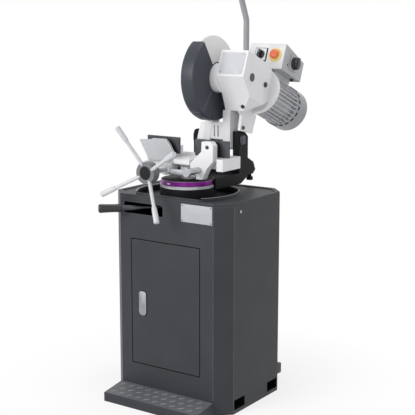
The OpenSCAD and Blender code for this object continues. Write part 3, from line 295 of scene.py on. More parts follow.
# Satin grey of the star wheel's hub, and the matt cap in its middle
hub_paint = painted("satin_grey_hub_paint", "727377", "696A6E", "8E8F93", 0.36, 3.0, 0.08, 18, gloss=0.4)
hub_cap = moulded("matt_black_hub_cap", "1E1F22", "191A1D", 0.55, 1.4, 0.05, 0.15)
# Duller grey of the left jaw
jaw_paint = painted("light_grey_jaw_paint", "B8B9BD", "ADAEB2", "CCCDD0", 0.36, 3.0, 0.12, 18, coat=0.15)
# The castings' white paint made brighter on the fixed guard: painted light where the gearbox shades it
guard_white_brightened = painted("white_guard_paint_brightened", "F2F2F3", "ECECEE", "F8F8F8", 0.30, 4.0, 0.08, 24, coat=0.5)
# Dark engraved and inked marks
ink = moulded("black_engraving_ink", "202124", "1A1B1D", 0.55, 0.8, 0.02)
# Black that stands for shade: painted shadow round the door and its pull, painted shade in the fork pockets
# and the fan's air slots
shade_black = moulded("painted_shade_black", "121214", "0E0E10", 0.70, 0.9, 0.05, 0.08)

cad_finish = {
    "anthracite_paint": ["base_plate", "fork_channels", "corner_posts", "cabinet_front", "side_panels",
                         "cabinet_back", "top_tray", "door", "step_plate"],
    "black_casting": ["base_casting", "swivel_arm", "yoke_cheeks", "rear_lug"],
    "white_paint": ["vise_bed", "head_arm", "hinge_ear", "gearbox_case", "gearbox_cover", "motor_flange",
                    "guard_upper", "right_jaw"],
    "grey_paint": ["motor_body", "fan_cover", "left_jaw", "jaw_slide", "star_hub", "feed_lever",
                   "coolant_tank", "star_spokes"],
    "dark_guard_paint": ["guard_rear", "guard_front"],
    "violet_anodised": ["swivel_ring"],
    "brushed_steel": ["scale_ring", "center_post", "hinge_pin", "return_spring", "bearings", "saw_blade",
                      "blade_clamp", "spindle", "motor_shaft", "vise_screw"],
    "dark_steel": ["gearbox_plugs", "fence_plates", "lock_lever", "door_hinges"],
    "bronze": ["crown_wheel"],
    "copper_winding": ["motor_stator"],
    "grey_plastic": ["control_box"],
    "plate_metal": ["door_pull", "switch_plates"],
    "black_plastic": ["mains_inlet", "coolant_pump", "lock_grip", "lever_grip", "motor_fan", "selector_knob",
                      "main_switch"],
    "red_plastic": ["estop_button", "grip_button"],
}
slot_of = {n: slot for slot, members in cad_finish.items() for n in members}
for name, node in nodes.items():
    node.data.materials.clear()
    node.data.materials.append(finish[slot_of[name]])


# Making and placing meshes

SMOOTH_BELOW = math.radians(38)


def meshed(work, name, smooth_below=SMOOTH_BELOW):
    """A built form as a mesh, smooth apart from its sharp edges."""
    bmesh.ops.recalc_face_normals(work, faces=work.faces)
    for face in work.faces:
        face.smooth = True
    mesh = bpy.data.meshes.new(name)
    work.to_mesh(mesh)
    work.free()
    mesh.set_sharp_from_angle(angle=smooth_below)
    return mesh


def place(name, work, body, slot, stands_for=(), material=None):
    """Puts a built form on its body with its finish, instead of the CAD nodes that it stands for."""
    piece = bpy.data.objects.new(name, meshed(work, name))
    bpy.context.scene.collection.objects.link(piece)
    piece.data.materials.append(material or finish[slot])
    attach(piece, body)
    if stands_for:
        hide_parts(*stands_for)
    return piece


def joined(*forms):
    """Several forms as one."""
    whole = bmesh.new()
    for form in forms:
        mesh = bpy.data.meshes.new("part")
        form.to_mesh(mesh)
        form.free()
        whole.from_mesh(mesh)
        bpy.data.meshes.remove(mesh)
    return whole


def moved(work, matrix):
    """The form, taken to its place."""
    bmesh.ops.transform(work, matrix=matrix, verts=work.verts)
    return work


def rounded_edges(work, width, segments=3, over=30):
    """Rounds every edge that is sharper than an angle."""
    sharp = [e for e in work.edges if len(e.link_faces) == 2 and e.calc_face_angle(0) > math.radians(over)]
    bmesh.ops.bevel(work, geom=sharp, offset=mm(width), offset_type="OFFSET", segments=segments, profile=0.5,
                    affect="EDGES", clamp_overlap=True)
    return work


def turned(profile, sides=48, sweep=360):
    """A form turned about Z from (radius, height) points in millimetres."""
    work = bmesh.new()
    verts = [work.verts.new(mm(r, 0, z)) for r, z in profile]
    edges = [work.edges.new(pair) for pair in zip(verts, verts[1:])]
    bmesh.ops.spin(work, geom=verts + edges, cent=(0, 0, 0), axis=(0, 0, 1), dvec=(0, 0, 0),
                   angle=math.radians(sweep), steps=sides, use_merge=sweep == 360)
    bmesh.ops.remove_doubles(work, verts=work.verts, dist=mm(0.005))
    return work


def slab(outline, thick):
    """A flat outline in X and Y, in millimetres, raised along Z."""
    work = bmesh.new()
    face = work.faces.new([work.verts.new(mm(x, y, 0)) for x, y in outline])
    raised = bmesh.ops.extrude_face_region(work, geom=[face])["geom"]
    tops = [v for v in raised if isinstance(v, bmesh.types.BMVert)]
    bmesh.ops.translate(work, verts=tops, vec=mm(0, 0, thick))
    return work


def arc(centre, radius, start, end, steps=6):
    """Points on an arc, angles in degrees."""
    angles = [math.radians(start + (end - start) * i / steps) for i in range(steps + 1)]
    return [(centre[0] + radius * math.cos(a), centre[1] + radius * math.sin(a)) for a in angles]


def soft_square(width, height, radius):
    """Outline of a rectangle with round corners, about its middle."""
    x, y = width / 2 - radius, height / 2 - radius
    return (arc((x, y), radius, 0, 90) + arc((-x, y), radius, 90, 180)
            + arc((-x, -y), radius, 180, 270) + arc((x, -y), radius, 270, 360))


def tube(points, radii, sides=20):
    """A round bar along a path in metres, with a radius in millimetres at each point and closed ends."""
    work = bmesh.new()
    rings = []
    across = None
    for i, point in enumerate(points):
        along = (points[min(i + 1, len(points) - 1)] - points[max(i - 1, 0)]).normalized()
        across = (along.orthogonal() if across is None else across - along * across.dot(along)).normalized()
        beside = along.cross(across)
        angles = [2 * math.pi * k / sides for k in range(sides)]
        rings.append([work.verts.new(point + mm(radii[i]) * (math.cos(a) * across + math.sin(a) * beside))
                      for a in angles])
    for low, high in zip(rings, rings[1:]):
        for k in range(sides):
            work.faces.new((low[k], low[(k + 1) % sides], high[(k + 1) % sides], high[k]))
    work.faces.new(reversed(rings[0]))
    work.faces.new(rings[-1])
    return work


def softened(name, width, segments=3):
    """The CAD solid with its sharp edges rounded, standing for it."""
    work = bmesh.new()
    bare = nodes[name].data.copy()
    if "custom_normal" in bare.attributes:
        bare.attributes.remove(bare.attributes["custom_normal"])
    work.from_mesh(bare)
    bpy.data.meshes.remove(bare)
    bmesh.ops.remove_doubles(work, verts=work.verts, dist=mm(0.005))
    bmesh.ops.dissolve_limit(work, angle_limit=math.radians(0.4), verts=work.verts, edges=work.edges)
    rounded_edges(work, width, segments)
    piece = place(name + "_soft", work, body_of[name], slot_of[name], [name], own_finish.get(name))
    piece.modifiers.new("flat faces", "WEIGHTED_NORMAL").keep_sharp = True
    return piece


SCREW_SOCKET = 0.55


def cap_screw(radius, height):
    """Head of a socket screw, with its rounded rim and its socket."""
    socket = radius * SCREW_SOCKET
    rim = min(radius, height) * 0.25
    return turned([(0, height * 0.4), (socket, height * 0.4), (socket, height), (radius - rim, height),
                   (radius - rim * 0.3, height - rim * 0.3), (radius, height - rim), (radius, 0), (0, 0)], 20)


def hexagon_bolt(radius, height):
    """Hexagon head with a chamfered top."""
    outline = arc((0, 0), radius, 0, 300, 5)
    return rounded_edges(slab(outline, height), min(radius, height) * 0.15, 2)


# Studio

CAMERA_AT = (2.4516, -3.4876, 1.5955)
CAMERA_RIGHT = (0.8227, 0.5686, 0.0013)
CAMERA_UP = (-0.1057, 0.1529, 0.9827)
CAMERA_BACK = (0.5586, -0.8084, 0.1859)
CAMERA_LENS = 90.63
LAMPS_LOOK_AT = (0, 0, 0.9)
WORLD_LIGHT = 0.47


def make_camera():
    """The photograph's viewpoint."""
    camera = bpy.data.objects.new("camera", bpy.data.cameras.new("camera"))
    bpy.context.scene.collection.objects.link(camera)
    axes = Matrix((CAMERA_RIGHT, CAMERA_UP, CAMERA_BACK)).transposed().to_4x4()
    camera.matrix_world = Matrix.Translation(CAMERA_AT) @ axes
    camera.data.lens = CAMERA_LENS
    camera.data.sensor_width = 36
    camera.data.clip_end = 100
    bpy.context.scene.camera = camera


def seen_directly(tree):
    """1 for what the camera sees, also in a mirror or through glass, and 0 for light that falls on things."""
    path = add(tree, "LightPath", {}).outputs
    either = add(tree, "Math", {0: path["Is Camera Ray"], 1: path["Is Glossy Ray"]}, operation="MAXIMUM")
    return add(tree, "Math", {0: either.outputs["Value"], 1: path["Is Transmission Ray"]},
               operation="MAXIMUM").outputs["Value"]


def make_floor(size=40.0, shadow=0.25, near=0.40, far=1.0):
    """A white floor that shows white, and keeps a part of the shadow close to the object."""
    work = bmesh.new()
    bmesh.ops.create_grid(work, x_segments=2, y_segments=2, size=size)
    floor = bpy.data.objects.new("studio_floor", meshed(work, "studio_floor"))
    bpy.context.scene.collection.objects.link(floor)
    material = bpy.data.materials.new("white_studio_floor")
    material.use_nodes = True
    tree = material.node_tree
    tree.nodes.remove(tree.nodes["Principled BSDF"])
    matt = add(tree, "BsdfDiffuse", {"Color": linear("F8F8F8")})
    glow = add(tree, "Emission", {"Color": linear("FFFFFF"), "Strength": 1.0})
    middle = add(tree, "TexCoord", {}).outputs["Object"]
    away = add(tree, "VectorMath", {0: middle}, operation="LENGTH")
    white = add(tree, "MapRange", {"Value": away.outputs["Value"], "From Min": near, "From Max": far,
                                   "To Min": 1 - shadow, "To Max": 1.0})
    share = add(tree, "Math", {0: seen_directly(tree), 1: white.outputs[0]}, operation="MULTIPLY")
    both = add(tree, "MixShader", {0: share.outputs["Value"], 1: matt.outputs["BSDF"],
                                   2: glow.outputs["Emission"]})
    tree.links.new(both.outputs["Shader"], tree.nodes["Material Output"].inputs["Surface"])
    floor.data.materials.append(material)
    floor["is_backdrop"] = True


def make_light():
    """A pale world and four soft boxes: front left, right behind, overhead, and a weak one on the right."""
    world = bpy.data.worlds.new("studio")
    world.use_nodes = True
    bpy.context.scene.world = world
    tree = world.node_tree
    strength = add(tree, "MapRange", {"Value": seen_directly(tree), "To Min": WORLD_LIGHT, "To Max": 1.0})
    tree.links.new(strength.outputs[0], tree.nodes["Background"].inputs["Strength"])
    tree.nodes["Background"].inputs["Color"].default_value = linear("FFFFFF")
    boxes = [("key_box", (-1.3, -4.2, 2.6), 138, 2.4), ("side_box", (2.8, 3.0, 2.8), 24, 2.0),
             ("top_box", (0.3, 0.2, 4.6), 45, 2.6), ("fill_box", (3.6, -2.4, 1.9), 16, 2.0)]
    for name, spot, power, size in boxes:
        lamp = bpy.data.objects.new(name, bpy.data.lights.new(name, "AREA"))
        bpy.context.scene.collection.objects.link(lamp)
        lamp.data.energy = power
        lamp.data.size = size
        lamp.location = spot
        towards = Vector(LAMPS_LOOK_AT) - Vector(spot)
        lamp.rotation_euler = towards.to_track_quat("-Z", "Y").to_euler()


make_camera()
make_floor()
make_light()
bpy.context.scene.view_settings.view_transform = "Standard"


# Rounded edges on the plain solids, each width in millimetres

edge_widths = {
    "base_plate": 1.5, "top_tray": 1.6, "step_plate": 2.5, "door": 0.8, "corner_posts": 0.6,
    "base_casting": 1.5, "swivel_ring": 1.2, "scale_ring": 0.6, "swivel_arm": 4.0, "yoke_cheeks": 4.0,
    "rear_lug": 2.0, "vise_bed": 3.0, "fence_plates": 1.2, "left_jaw": 2.5, "right_jaw": 4.0,
    "jaw_slide": 2.0, "head_arm": 3.0, "hinge_ear": 2.0, "gearbox_case": 5.0, "gearbox_cover": 4.0,
    "motor_flange": 3.0, "control_box": 4.0, "coolant_tank": 2.0, "mains_inlet": 2.0,
    "guard_upper": 2.0, "guard_front": 1.2, "guard_rear": 1.2, "star_hub": 2.0, "fan_cover": 1.0,
    "coolant_pump": 2.0, "gearbox_plugs": 0.8, "motor_body": 0.5,
}
own_finish = {"guard_upper": guard_white_brightened, "star_hub": hub_paint,
              "fan_cover": satin_grey, "left_jaw": jaw_paint}
for name, width in edge_widths.items():
    softened(name, width)


# Small forms that several pieces share

def bored_plate(outline, bore, thick):
    """A flat plate, its outline given about its middle, with a round hole; all sizes in millimetres."""
    work = bmesh.new()
    inner = [(bore * math.cos(math.atan2(y, x)), bore * math.sin(math.atan2(y, x))) for x, y in outline]
    loops = [[work.verts.new(mm(x, y, z)) for x, y in loop]
             for loop, z in ((outline, 0), (outline, thick), (inner, thick), (inner, 0))]
    for low, high in zip(loops, loops[1:] + loops[:1]):
        for k in range(len(outline)):
            after = (k + 1) % len(outline)
            work.faces.new((low[k], low[after], high[after], high[k]))
    bmesh.ops.remove_doubles(work, verts=work.verts, dist=mm(0.005))
    return work


def toothed_disc(radius, bore, thick, teeth, depth):
    """A saw blade about Z, with raked teeth and round gullets."""
    shape = [(0.00, radius), (0.30, radius - 0.12 * depth), (0.55, radius - 0.70 * depth),
             (0.75, radius - depth), (0.92, radius - 0.75 * depth)]
    outline = []
    for tooth in range(teeth):
        for share, r in shape:
            angle = 2 * math.pi * (tooth + share) / teeth
            outline.append((r * math.cos(angle), r * math.sin(angle)))
    return bored_plate(outline, bore, thick)


def rivet(radius, height):
    """A low round head."""
    shape = [(0, 0), (radius, 0), (radius * 0.92, height * 0.5), (radius * 0.6, height * 0.9), (0, height)]
    return turned(shape, 16)


def bar(x0, x1, y0, y1):
    """Outline of a plain rectangle."""
    return [(x0, y0), (x1, y0), (x1, y1), (x0, y1)]


# Cabinet: bare plate, painted shadow round the door, the door pull with its painted shadow, side screws,
# painted shade in the fork pockets, a painted highlight on the lip, and the tread

FRONT_FACE = -230
PLATE_SIZE = (148, 72)
PLATE_MIDDLE = (152, 812)
RIVET_INSET = 6
plate_spot = at(PLATE_MIDDLE[0], FRONT_FACE, PLATE_MIDDLE[1]) @ to_front
plate = moved(slab(soft_square(*PLATE_SIZE, 2.5), 1.2), plate_spot)
place("cabinet_plate", rounded_edges(plate, 0.3, 2), "base", "plate_metal", material=label_film)
rivet_x = PLATE_SIZE[0] / 2 - RIVET_INSET
rivet_y = PLATE_SIZE[1] / 2 - RIVET_INSET
rivets = [moved(rivet(2.6, 2.4), plate_spot @ at(sx * rivet_x, sy * rivet_y, 0.8))
          for sx in (-1, 1) for sy in (-1, 1)]
place("cabinet_plate_rivets", joined(*rivets), "base", "dark_steel")

DOOR_X = (-172, 164)
DOOR_Z = (153, 675)
# Dark strips round the door: the painted shadow of the gap between door and panel
GAP_SHADOW = 4.6
gap_shadow = [bar(DOOR_X[0] - GAP_SHADOW, DOOR_X[0], DOOR_Z[0] - GAP_SHADOW, DOOR_Z[1] + GAP_SHADOW),
          bar(DOOR_X[1], DOOR_X[1] + GAP_SHADOW, DOOR_Z[0] - GAP_SHADOW, DOOR_Z[1] + GAP_SHADOW),
          bar(*DOOR_X, DOOR_Z[0] - GAP_SHADOW, DOOR_Z[0]), bar(*DOOR_X, DOOR_Z[1], DOOR_Z[1] + GAP_SHADOW)]
gap_shadow_strips = [moved(slab(outline, 0.3), at(0, FRONT_FACE, 0) @ to_front) for outline in gap_shadow]
place("door_gap_shadow", joined(*gap_shadow_strips), "base", "black_plastic", material=shade_black)

PULL_SIZE = (37, 102)
PULL_MIDDLE = (-117.5, 410)
PULL_TOP_ROUND = 11
PULL_FOOT_ROUND = 17


def pull_outline(grow=0):
    """The pull's outline: round corners at the top and a rounder foot."""
    x, y = PULL_SIZE[0] / 2, PULL_SIZE[1] / 2
    top, foot = PULL_TOP_ROUND, PULL_FOOT_ROUND
    return (arc((x - top, y - top), top + grow, 0, 90)
            + arc((top - x, y - top), top + grow, 90, 180)
            + arc((foot - x, foot - y), foot + grow, 180, 270)
            + arc((x - foot, foot - y), foot + grow, 270, 360))


pull_spot = at(PULL_MIDDLE[0], FRONT_FACE, PULL_MIDDLE[1]) @ to_front
pull_plate = rounded_edges(slab(pull_outline(), 3), 0.8, 2)
pull_flap = moved(rounded_edges(slab(soft_square(27, 60, 5), 0.8), 0.3, 2), at(0, 8, 2.8))
place("door_pull_rounded", moved(joined(pull_plate, pull_flap), pull_spot), "door", "plate_metal",
      ["door_pull"], cast_zinc)
# A dark outline round the pull, set a little to the right and down: the pull's painted shadow on the door
pull_gap_shadow = moved(slab(pull_outline(2), 0.4), pull_spot @ at(1, -0.6, 0))
place("pull_gap_shadow", pull_gap_shadow, "door", "black_plastic", material=shade_black)

SIDE_FACES = ((to_right, 290), (to_left, -290))
SIDE_SCREW = (-129, 822)
SIDE_PLUG = (-38, 828)
side_screws = [moved(cap_screw(6, 4), at(face, *SIDE_SCREW) @ facing) for facing, face in SIDE_FACES]
place("side_screws", joined(*side_screws), "base", "brushed_steel")
side_plugs = [moved(rivet(3.5, 1.2), at(face, *SIDE_PLUG) @ facing) for facing, face in SIDE_FACES]
place("side_plugs", joined(*side_plugs), "base", "black_plastic")
# The fork pockets in black: painted shade inside them
nodes["fork_channels"].data.materials[0] = shade_black

LIP_TOP = 872
LIP_BAND = (205.4, 211.6)
# A pale band on the lip's top: a painted highlight
lip_highlight_band = arc((0, 0), LIP_BAND[1], -40, 220, 60) + arc((0, 0), LIP_BAND[0], 220, -40, 60)
place("lip_highlight", moved(slab(lip_highlight_band, 0.8), at(0, SWIVEL_Y, LIP_TOP)), "base", "step_paint",
      material=wear_and_highlight_tread)

TREAD_SLOPE = math.degrees(math.atan2(18, 118))
TREAD_MIDDLE = (0, -289, 47)
TREAD_SIZE = (464, 113)
TREAD_ROWS = 3
TREAD_COLUMNS = 10
TREAD_PITCH = (43, 34)
TREAD_BAR = (24, 6)
tread_middle = at(*TREAD_MIDDLE) @ turn(TREAD_SLOPE, "X")
tread_sheet = moved(slab(soft_square(*TREAD_SIZE, 4), 0.6), tread_middle @ at(0, 0, -0.1))
place("tread_sheet", rounded_edges(tread_sheet, 0.2, 1), "base", "step_paint")
tread_bars = []
for row in range(TREAD_ROWS):
    for column in range(TREAD_COLUMNS):
        x = (column - 4.75 + 0.5 * (row % 2)) * TREAD_PITCH[0]
        y = (row - 1) * TREAD_PITCH[1]
        form = rounded_edges(slab(soft_square(*TREAD_BAR, 2.9), 2.0), 0.8, 2)
        tread_bars.append(moved(form, tread_middle @ at(x, y, -0.3) @ turn(40, "Z")))
place("tread_bars", joined(*tread_bars), "base", "step_paint", material=wear_and_highlight_tread)


# Turntable: graduations, a white spot as a painted highlight on the ring, painted shade over the ring's top
# with a painted highlight on its edge, and the clamp lever's shank and grip

SCALE_MIDDLE = 896
MARK_TOP = 5.2
marks = []
for angle in range(-90, 95, 5):
    tall = 8 if angle % 15 == 0 else 5
    around = at(0, SWIVEL_Y, SCALE_MIDDLE) @ turn(angle, "Z")
    spot = around @ at(0, -SCALE_RADIUS + 0.1, MARK_TOP - tall / 2) @ to_front
    marks.append(moved(slab(bar(-0.6, 0.6, -tall / 2, tall / 2), 0.35), spot))
place("scale_marks", joined(*marks), "base", "black_plastic", material=ink)
# A small white plate on the violet ring: a painted highlight
GLINT_Z = 911
GLINT_TURN = -9
RING_RADIUS = 109.9
ring_glint = moved(rounded_edges(slab(soft_square(17, 7, 1.5), 1.0), 0.3, 2),
             at(0, SWIVEL_Y, GLINT_Z) @ turn(GLINT_TURN, "Z") @ at(0, -RING_RADIUS, 0) @ to_front)
place("ring_glint_plate", ring_glint, "swivel", "plate_metal", material=white_plate)

RING_TOP = 921
# A black disc over the violet ring's top: painted shade under the vise
ring_top_shade = turned([(34, 0), (106, 0), (106, 1.0), (105, 1.6), (34, 1.6), (34, 0)], 72)
# A pale metal band round the ring's top edge: a painted highlight on its bevel
ring_edge_highlight = turned([(106.4, 0), (109, 0), (109, 0.5), (106.4, 0.5), (106.4, 0)], 72)
place("ring_edge_highlight", moved(ring_edge_highlight, at(0, SWIVEL_Y, RING_TOP)), "swivel", "plate_metal")
place("ring_top_shade", moved(ring_top_shade, at(0, SWIVEL_Y, RING_TOP)), "swivel", "black_casting")

LOCK_Z = 805
LOCK_ANGLE = 46.6
LOCK_REACH = 365.6
GRIP_LENGTH = 95
lock_frame = at(0, SWIVEL_Y, LOCK_Z) @ turn(-LOCK_ANGLE, "Z") @ to_front
grip_shape = [(0, 87), (8.05, 87), (8.05, 0), (13, 0), (16, 2), (17, 6), (16.4, 30), (17, 60), (18, 84),
              (17.6, 90), (15, 93.6), (10, 95), (0, 95)]
shank_shape = [(8.02, -125), (8.3, -125), (12.4, -2), (12.4, 0), (8.02, 0), (8.02, -125)]
grip_start = lock_frame @ at(0, 0, LOCK_REACH - GRIP_LENGTH)
place("lock_shank", moved(turned(shank_shape, 36), grip_start), "clamp_lever", "dark_steel")
place("lock_grip_turned", moved(turned(grip_shape, 40), grip_start), "clamp_lever", "black_plastic",
      ["lock_grip"])


# Vise: star wheel, screw thread, push rod and the bolt of the right-hand jaw

STAR_Y = -262.5
SPOKE_ROOT = 30
spoke_end = SPOKE_REACH / math.cos(math.radians(SPOKE_DISH))
spoke_shape = [(0, SPOKE_ROOT), (7, SPOKE_ROOT), (7.8, 60), (7.2, spoke_end - 76), (7.8, spoke_end - 71),
               (10, spoke_end - 64), (10.8, spoke_end - 52), (11.4, spoke_end - 3), (10.8, spoke_end - 0.8),
               (9.4, spoke_end), (0, spoke_end)]
spokes = []
for k in range(4):
    spot = at(SCREW_X, STAR_Y, SCREW_Z) @ turn(90 - SPOKE_ANGLE - 90 * k, "Y") @ turn(SPOKE_DISH, "X")
    spokes.append(moved(turned(spoke_shape, 28), spot))
place("star_spokes_turned", joined(*spokes), "wheel", "grey_paint", ["star_spokes"])
cap_shape = [(0, -4.9), (26.8, -4.9), (26.8, -0.4), (25.6, 0.8), (14, 1.6), (0, 1.9)]
hub_spot = at(SCREW_X, HUB_FRONT, SCREW_Z) @ to_front
place("star_cap", moved(turned(cap_shape, 40), hub_spot), "wheel", "black_plastic", material=hub_cap)

THREAD_PITCH = 10
thread = [(0, -244), (9, -244)]
for start in range(-230, -80, THREAD_PITCH):
    thread += [(8, start), (8, start + 3.6), (10, start + 4.8), (10, start + 8.8)]
thread += [(10, -66.4), (13, -66.4), (13, -60.4), (10, -60.4), (10, -34.6), (16, -34.6), (16, -21), (10, -21),
           (10, -18), (9, -17), (0, -17)]
place("vise_screw_threaded", moved(turned(thread, 28), at(SCREW_X, 0, SCREW_Z) @ to_back), "wheel",
      "brushed_steel", ["vise_screw"])
JAW_FRONT = -128
PUSH_ROD = (90, JAW_FRONT, 968)
JAW_BOLT = (132, JAW_FRONT, 1062)
push_skin = [(0, 0), (14.3, 0), (14.3, 78), (18.3, 78), (18.3, 86), (17, 87.4), (0, 87.4)]
place("push_rod_skin", moved(turned(push_skin, 36), at(*PUSH_ROD) @ to_front), "jaw", "brushed_steel")
place("right_jaw_bolt", moved(cap_screw(7.5, 4), at(*JAW_BOLT) @ to_front), "jaw", "dark_steel")


# Hinge: keeper plates over the pin's heads, and the wound return spring

CHEEK_FACE = 116
keepers = []
for side, facing in ((1, to_right), (-1, to_left)):
    form = rounded_edges(slab(soft_square(37, 37, 7), 4.8), 0.8, 2)
    keepers.append(moved(form, Matrix.Translation(HINGE) @ at(side * CHEEK_FACE, 0, 0) @ facing))
place("pin_keepers", joined(*keepers), "swivel", "dark_steel")

COIL_RADIUS = 18.5
COIL_ENDS = (-14, 30)
COIL_TURNS = 6
WIRE = 5


def coil_spot(angle):
    """Middle of the wire at an angle in degrees, in the hinge's frame."""
    x = COIL_ENDS[0] + (COIL_ENDS[1] - COIL_ENDS[0]) * angle / (360 * COIL_TURNS)
    a = math.radians(angle)
    return mm(x, COIL_RADIUS * math.cos(a), COIL_RADIUS * math.sin(a))


def coil_end(angle, side):
    """The bent end: a quarter bend, then straight along the pin for one wire diameter."""
    a = math.radians(angle)
    along = Vector((0, -math.sin(a), math.cos(a)))
    axis = Vector((1, 0, 0))
    bend = [math.radians(b) for b in (15, 30, 45, 60, 75, 90)]
    points = [coil_spot(angle) + side * mm(WIRE) * (math.sin(b) * along + (1 - math.cos(b)) * axis)
              for b in bend]
    return points + [points[-1] + side * mm(WIRE) * axis]


coil = [coil_spot(11.25 * i) for i in range(32 * COIL_TURNS + 1)]
path = list(reversed(coil_end(0, -1))) + coil + coil_end(360 * COIL_TURNS, 1)
wire = moved(tube(path, [WIRE / 2] * len(path), 14), Matrix.Translation(HINGE))
place("return_spring_wound", wire, body_of["return_spring"], "brushed_steel", ["return_spring"])


# Head: bare front plate, painted shade in the fan-end air slots, cable gland

FACE_PLATE = (112, 92)
FACE_MIDDLE = (125, 263)
FACE_SCREWS = (47, 38)
face_spot = head_frame @ at(FACE_MIDDLE[0], GEAR_FRONT, FACE_MIDDLE[1]) @ to_front
face_plate = rounded_edges(slab(soft_square(*FACE_PLATE, 4), 1.6), 0.4, 2)
place("gearbox_plate", moved(face_plate, face_spot), "head", "plate_metal", material=white_plate)
plate_screws = [moved(cap_screw(3.6, 2.4), face_spot @ at(sx * FACE_SCREWS[0], sy * FACE_SCREWS[1], 1.2))
                for sx in (-1, 1) for sy in (-1, 1)]
place("gearbox_plate_screws", joined(*plate_screws), "head", "brushed_steel")

COVER_RADIUS = 92
COVER_START = 224
SLOT_COUNT = 20
slot_in = COVER_RADIUS - 0.5
slot_out = COVER_RADIUS + 0.3
slot_shape = [(slot_in, 0), (slot_out, 0), (slot_out, 9), (slot_in, 9), (slot_in, 0)]
# Dark strips on the fan cover where its air slots are: painted shade inside the slots
slot_shades = [moved(turned(slot_shape, 4, 10), motor_frame @ at(0, COVER_START + 1, 0) @ to_back
                   @ turn(360 * k / SLOT_COUNT, "Z")) for k in range(SLOT_COUNT)]
place("fan_slot_shades", joined(*slot_shades), "head", "black_plastic", material=shade_black)
GLAND = (199, 150, 320.2)
gland_shape = [(0, 0), (8, 0), (8, 4), (6.5, 5), (6.5, 8), (5, 9.4), (0, 9.6)]
place("box_gland", moved(turned(gland_shape, 12), head_frame @ at(*GLAND) @ turn(180, "X")), "head",
      "black_plastic")


# Blade, and the front guard's seam lines, their painted highlights and the pivot bolt

TEETH = 120
blade = moved(toothed_disc(BLADE_RADIUS, 18, BLADE_THICK, TEETH, 5), at(-BLADE_THICK / 2, 0, 0) @ to_right)
place("saw_blade_toothed", moved(blade, blade_frame), "cutter", "brushed_steel", ["saw_blade"])
SEAM = -72
near_seam = blade_frame @ turn(-SEAM - 90, "X") @ at(GUARD_HALF, 0, 0) @ to_right
far_seam = blade_frame @ turn(90 - SEAM, "X") @ at(-GUARD_HALF, 0, 0) @ to_left
rim_seam = blade_frame @ turn(90 - SEAM, "X") @ at(0, 0, GUARD_RADIUS)
# Dark seam lines, each with a pale strip beside it that is a painted highlight
seam_lines = [("guard_seams", -0.8, 0.8, ink), ("guard_seam_edges", 0.8, 2.6, seam_highlight_paint)]
for name, low, high, material in seam_lines:
    lines = [moved(slab(bar(66, 173, low, high), 0.35), near_seam),
             moved(slab(bar(42, 173, low, high), 0.35), far_seam),
             moved(slab(bar(-20, 20, low, high), 0.35), rim_seam)]
    place(name, joined(*lines), "front_guard", "dark_guard_paint", material=material)

PIVOT_END = 33
pivot_bolt = joined(hexagon_bolt(8, 5), turned([(0, 0), (11, 0), (11, 1), (0, 1)], 28))
place("guard_pivot_bolt", moved(pivot_bolt, blade_frame @ at(-PIVOT_END, 0, 0) @ to_left), "head",
      "dark_steel")


# Controls

panel_outline = soft_square(BOX_SIZE[0] - 3, BOX_SIZE[1] - 3, 3)
panel_spot = head_frame @ at(BOX_MIDDLE[0], BOX_FRONT, BOX_MIDDLE[1]) @ to_front
front_panel = rounded_edges(slab(panel_outline, 0.8), 0.3, 2)
place("box_front_panel", moved(front_panel, panel_spot), "head", "plate_metal", material=white_panel)
BOX_RIGHT = 220
selector_spot = head_frame @ at(106, BOX_FRONT, 380) @ to_front
stop_spot = head_frame @ at(176, BOX_FRONT, 381) @ to_front
switch_spot = head_frame @ at(BOX_RIGHT, 102, 374) @ to_right
lock_spot = head_frame @ at(BOX_RIGHT, 57, 353) @ to_right
STEM = 6.05
# A black plate under the selector's face, which is set up and to the left, so black shows at its right and
# foot: a painted shadow
selector_shadow_plate = rounded_edges(bored_plate(soft_square(60, 60, 3), STEM, 3.0), 0.4, 2)
place("selector_plate_shadow", moved(selector_shadow_plate, selector_spot), "head", "black_plastic", ["switch_plates"])
selector_face = bored_plate(soft_square(52, 52, 2), STEM, 4.0)
place("selector_face", moved(selector_face, selector_spot @ at(-1.5, 1.5, 0)), "head", "grey_plastic",
      material=white_panel)
stop_ring = [(11.4, 0), (30, 0), (30, 2.6), (28.6, 4), (11.4, 4), (11.4, 0)]
place("stop_ring", moved(turned(stop_ring, 40), stop_spot), "head", "grey_plastic", material=yellow_plastic)
switch_plate = rounded_edges(bored_plate(soft_square(64, 64, 6), STEM, 4.0), 0.8, 2)
place("main_switch_plate", moved(switch_plate, switch_spot), "head", "grey_plastic")

place("box_lock", moved(rivet(4.5, 1.6), lock_spot), "head", "black_plastic")

mushroom = [(0, -10), (11, -10), (11, 11.8), (17, 12), (19.4, 13), (20, 15), (19.4, 18), (17, 20.4),
            (12, 21.6), (6, 22), (0, 22.1)]
place("stop_mushroom", moved(turned(mushroom, 40), stop_spot), "estop", "red_plastic", ["estop_button"])

KNOB_FLOOR = 4.4
knob_base = [(0, -10), (6, -10), (6, KNOB_FLOOR), (18, KNOB_FLOOR), (18, 10.6), (16.6, 12.4), (0, 12.4)]
knob_wing = moved(rounded_edges(slab(soft_square(12, 36, 4), 16), 1.6), at(0, 0, 10.4))
knob = joined(turned(knob_base, 36), knob_wing)
place("selector_winged", moved(knob, selector_spot), "selector", "black_plastic", ["selector_knob"])
place("selector_index", moved(slab(bar(-0.9, 0.9, 4, 16), 0.4), selector_spot @ at(0, 0, 26.2)), "selector",
      "grey_plastic", material=white_plate)

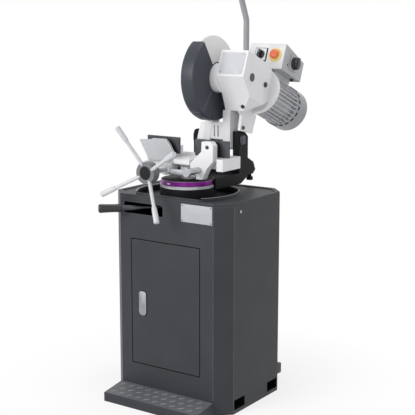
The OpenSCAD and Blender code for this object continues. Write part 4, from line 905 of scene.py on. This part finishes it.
switch_base = [(0, -14), (6, -14), (6, KNOB_FLOOR), (27, KNOB_FLOOR), (27, 12.6), (25.4, 14.4), (0, 14.4)]
FLUTES = 8
fluted = []
for step in range(0, 360, 5):
    angle = math.radians(step)
    reach = 23 + 1.3 * math.cos(FLUTES * angle)
    fluted.append((reach * math.cos(angle), reach * math.sin(angle)))
switch_crown = moved(rounded_edges(slab(fluted, 9), 1.2, 3, 50), at(0, 0, 14))
switch_wing = moved(rounded_edges(slab(soft_square(52, 16, 6), 8), 1.6), at(0, 0, 19))
switch = joined(turned(switch_base, 40), switch_crown, switch_wing)
place("main_switch_turned", moved(switch, switch_spot), "switch", "black_plastic", ["main_switch"])


# Feed lever with its foot, ribbed grip and button

LEVER_X = 131
LEVER_Y = 154
BEND_Z = 1555
LEVER_LEAN = 25
BEND_ROUND = 12
LEVER_RADIUS = 12
lever_frame = at(LEVER_X, LEVER_Y, BEND_Z) @ turn(LEVER_LEAN, "X")
bend = mm(LEVER_X, LEVER_Y, BEND_Z)
before = bend - mm(0, 0, BEND_ROUND)
after = lever_frame @ mm(0, 0, BEND_ROUND)
shares = [i / 10 for i in range(11)]
curve = [(1 - t) ** 2 * before + 2 * t * (1 - t) * bend + t ** 2 * after for t in shares]
lever_path = [mm(LEVER_X, LEVER_Y, 1406), mm(LEVER_X, LEVER_Y, 1470)] + curve + [lever_frame @ mm(0, 0, 160)]
foot_shape = [(0, 0), (20, 0), (20, 11), (18.6, 14.6), (16, 16), (0, 16)]
foot = moved(turned(foot_shape, 36), head_frame @ at(LEVER_X, -130, GEAR_TOP))
lever = joined(tube(lever_path, [LEVER_RADIUS] * len(lever_path), 28), foot)
place("feed_lever_bent", lever, "head", "grey_paint", ["feed_lever"], satin_grey)

grip = [(0, 160.5), (12.05, 160.5), (12.05, 100), (15.5, 100), (17, 102)]
for rib in range(106, 218, 7):
    grip += [(17, rib), (16, rib + 1.2), (16, rib + 3), (17, rib + 4.2)]
grip += [(17, 224), (16, 227.6), (13.5, 230), (9.35, 230), (9.35, 191), (0, 191)]
place("lever_grip_ribbed", moved(turned(grip, 36), lever_frame), "head", "black_plastic", ["lever_grip"])
button = [(0, 209), (9, 209), (9, 236), (8, 238.2), (5.5, 239), (0, 239)]
place("grip_button_domed", moved(turned(button, 28), lever_frame), "button", "red_plastic", ["grip_button"])


# Corners of the box round everything shown

low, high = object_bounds()
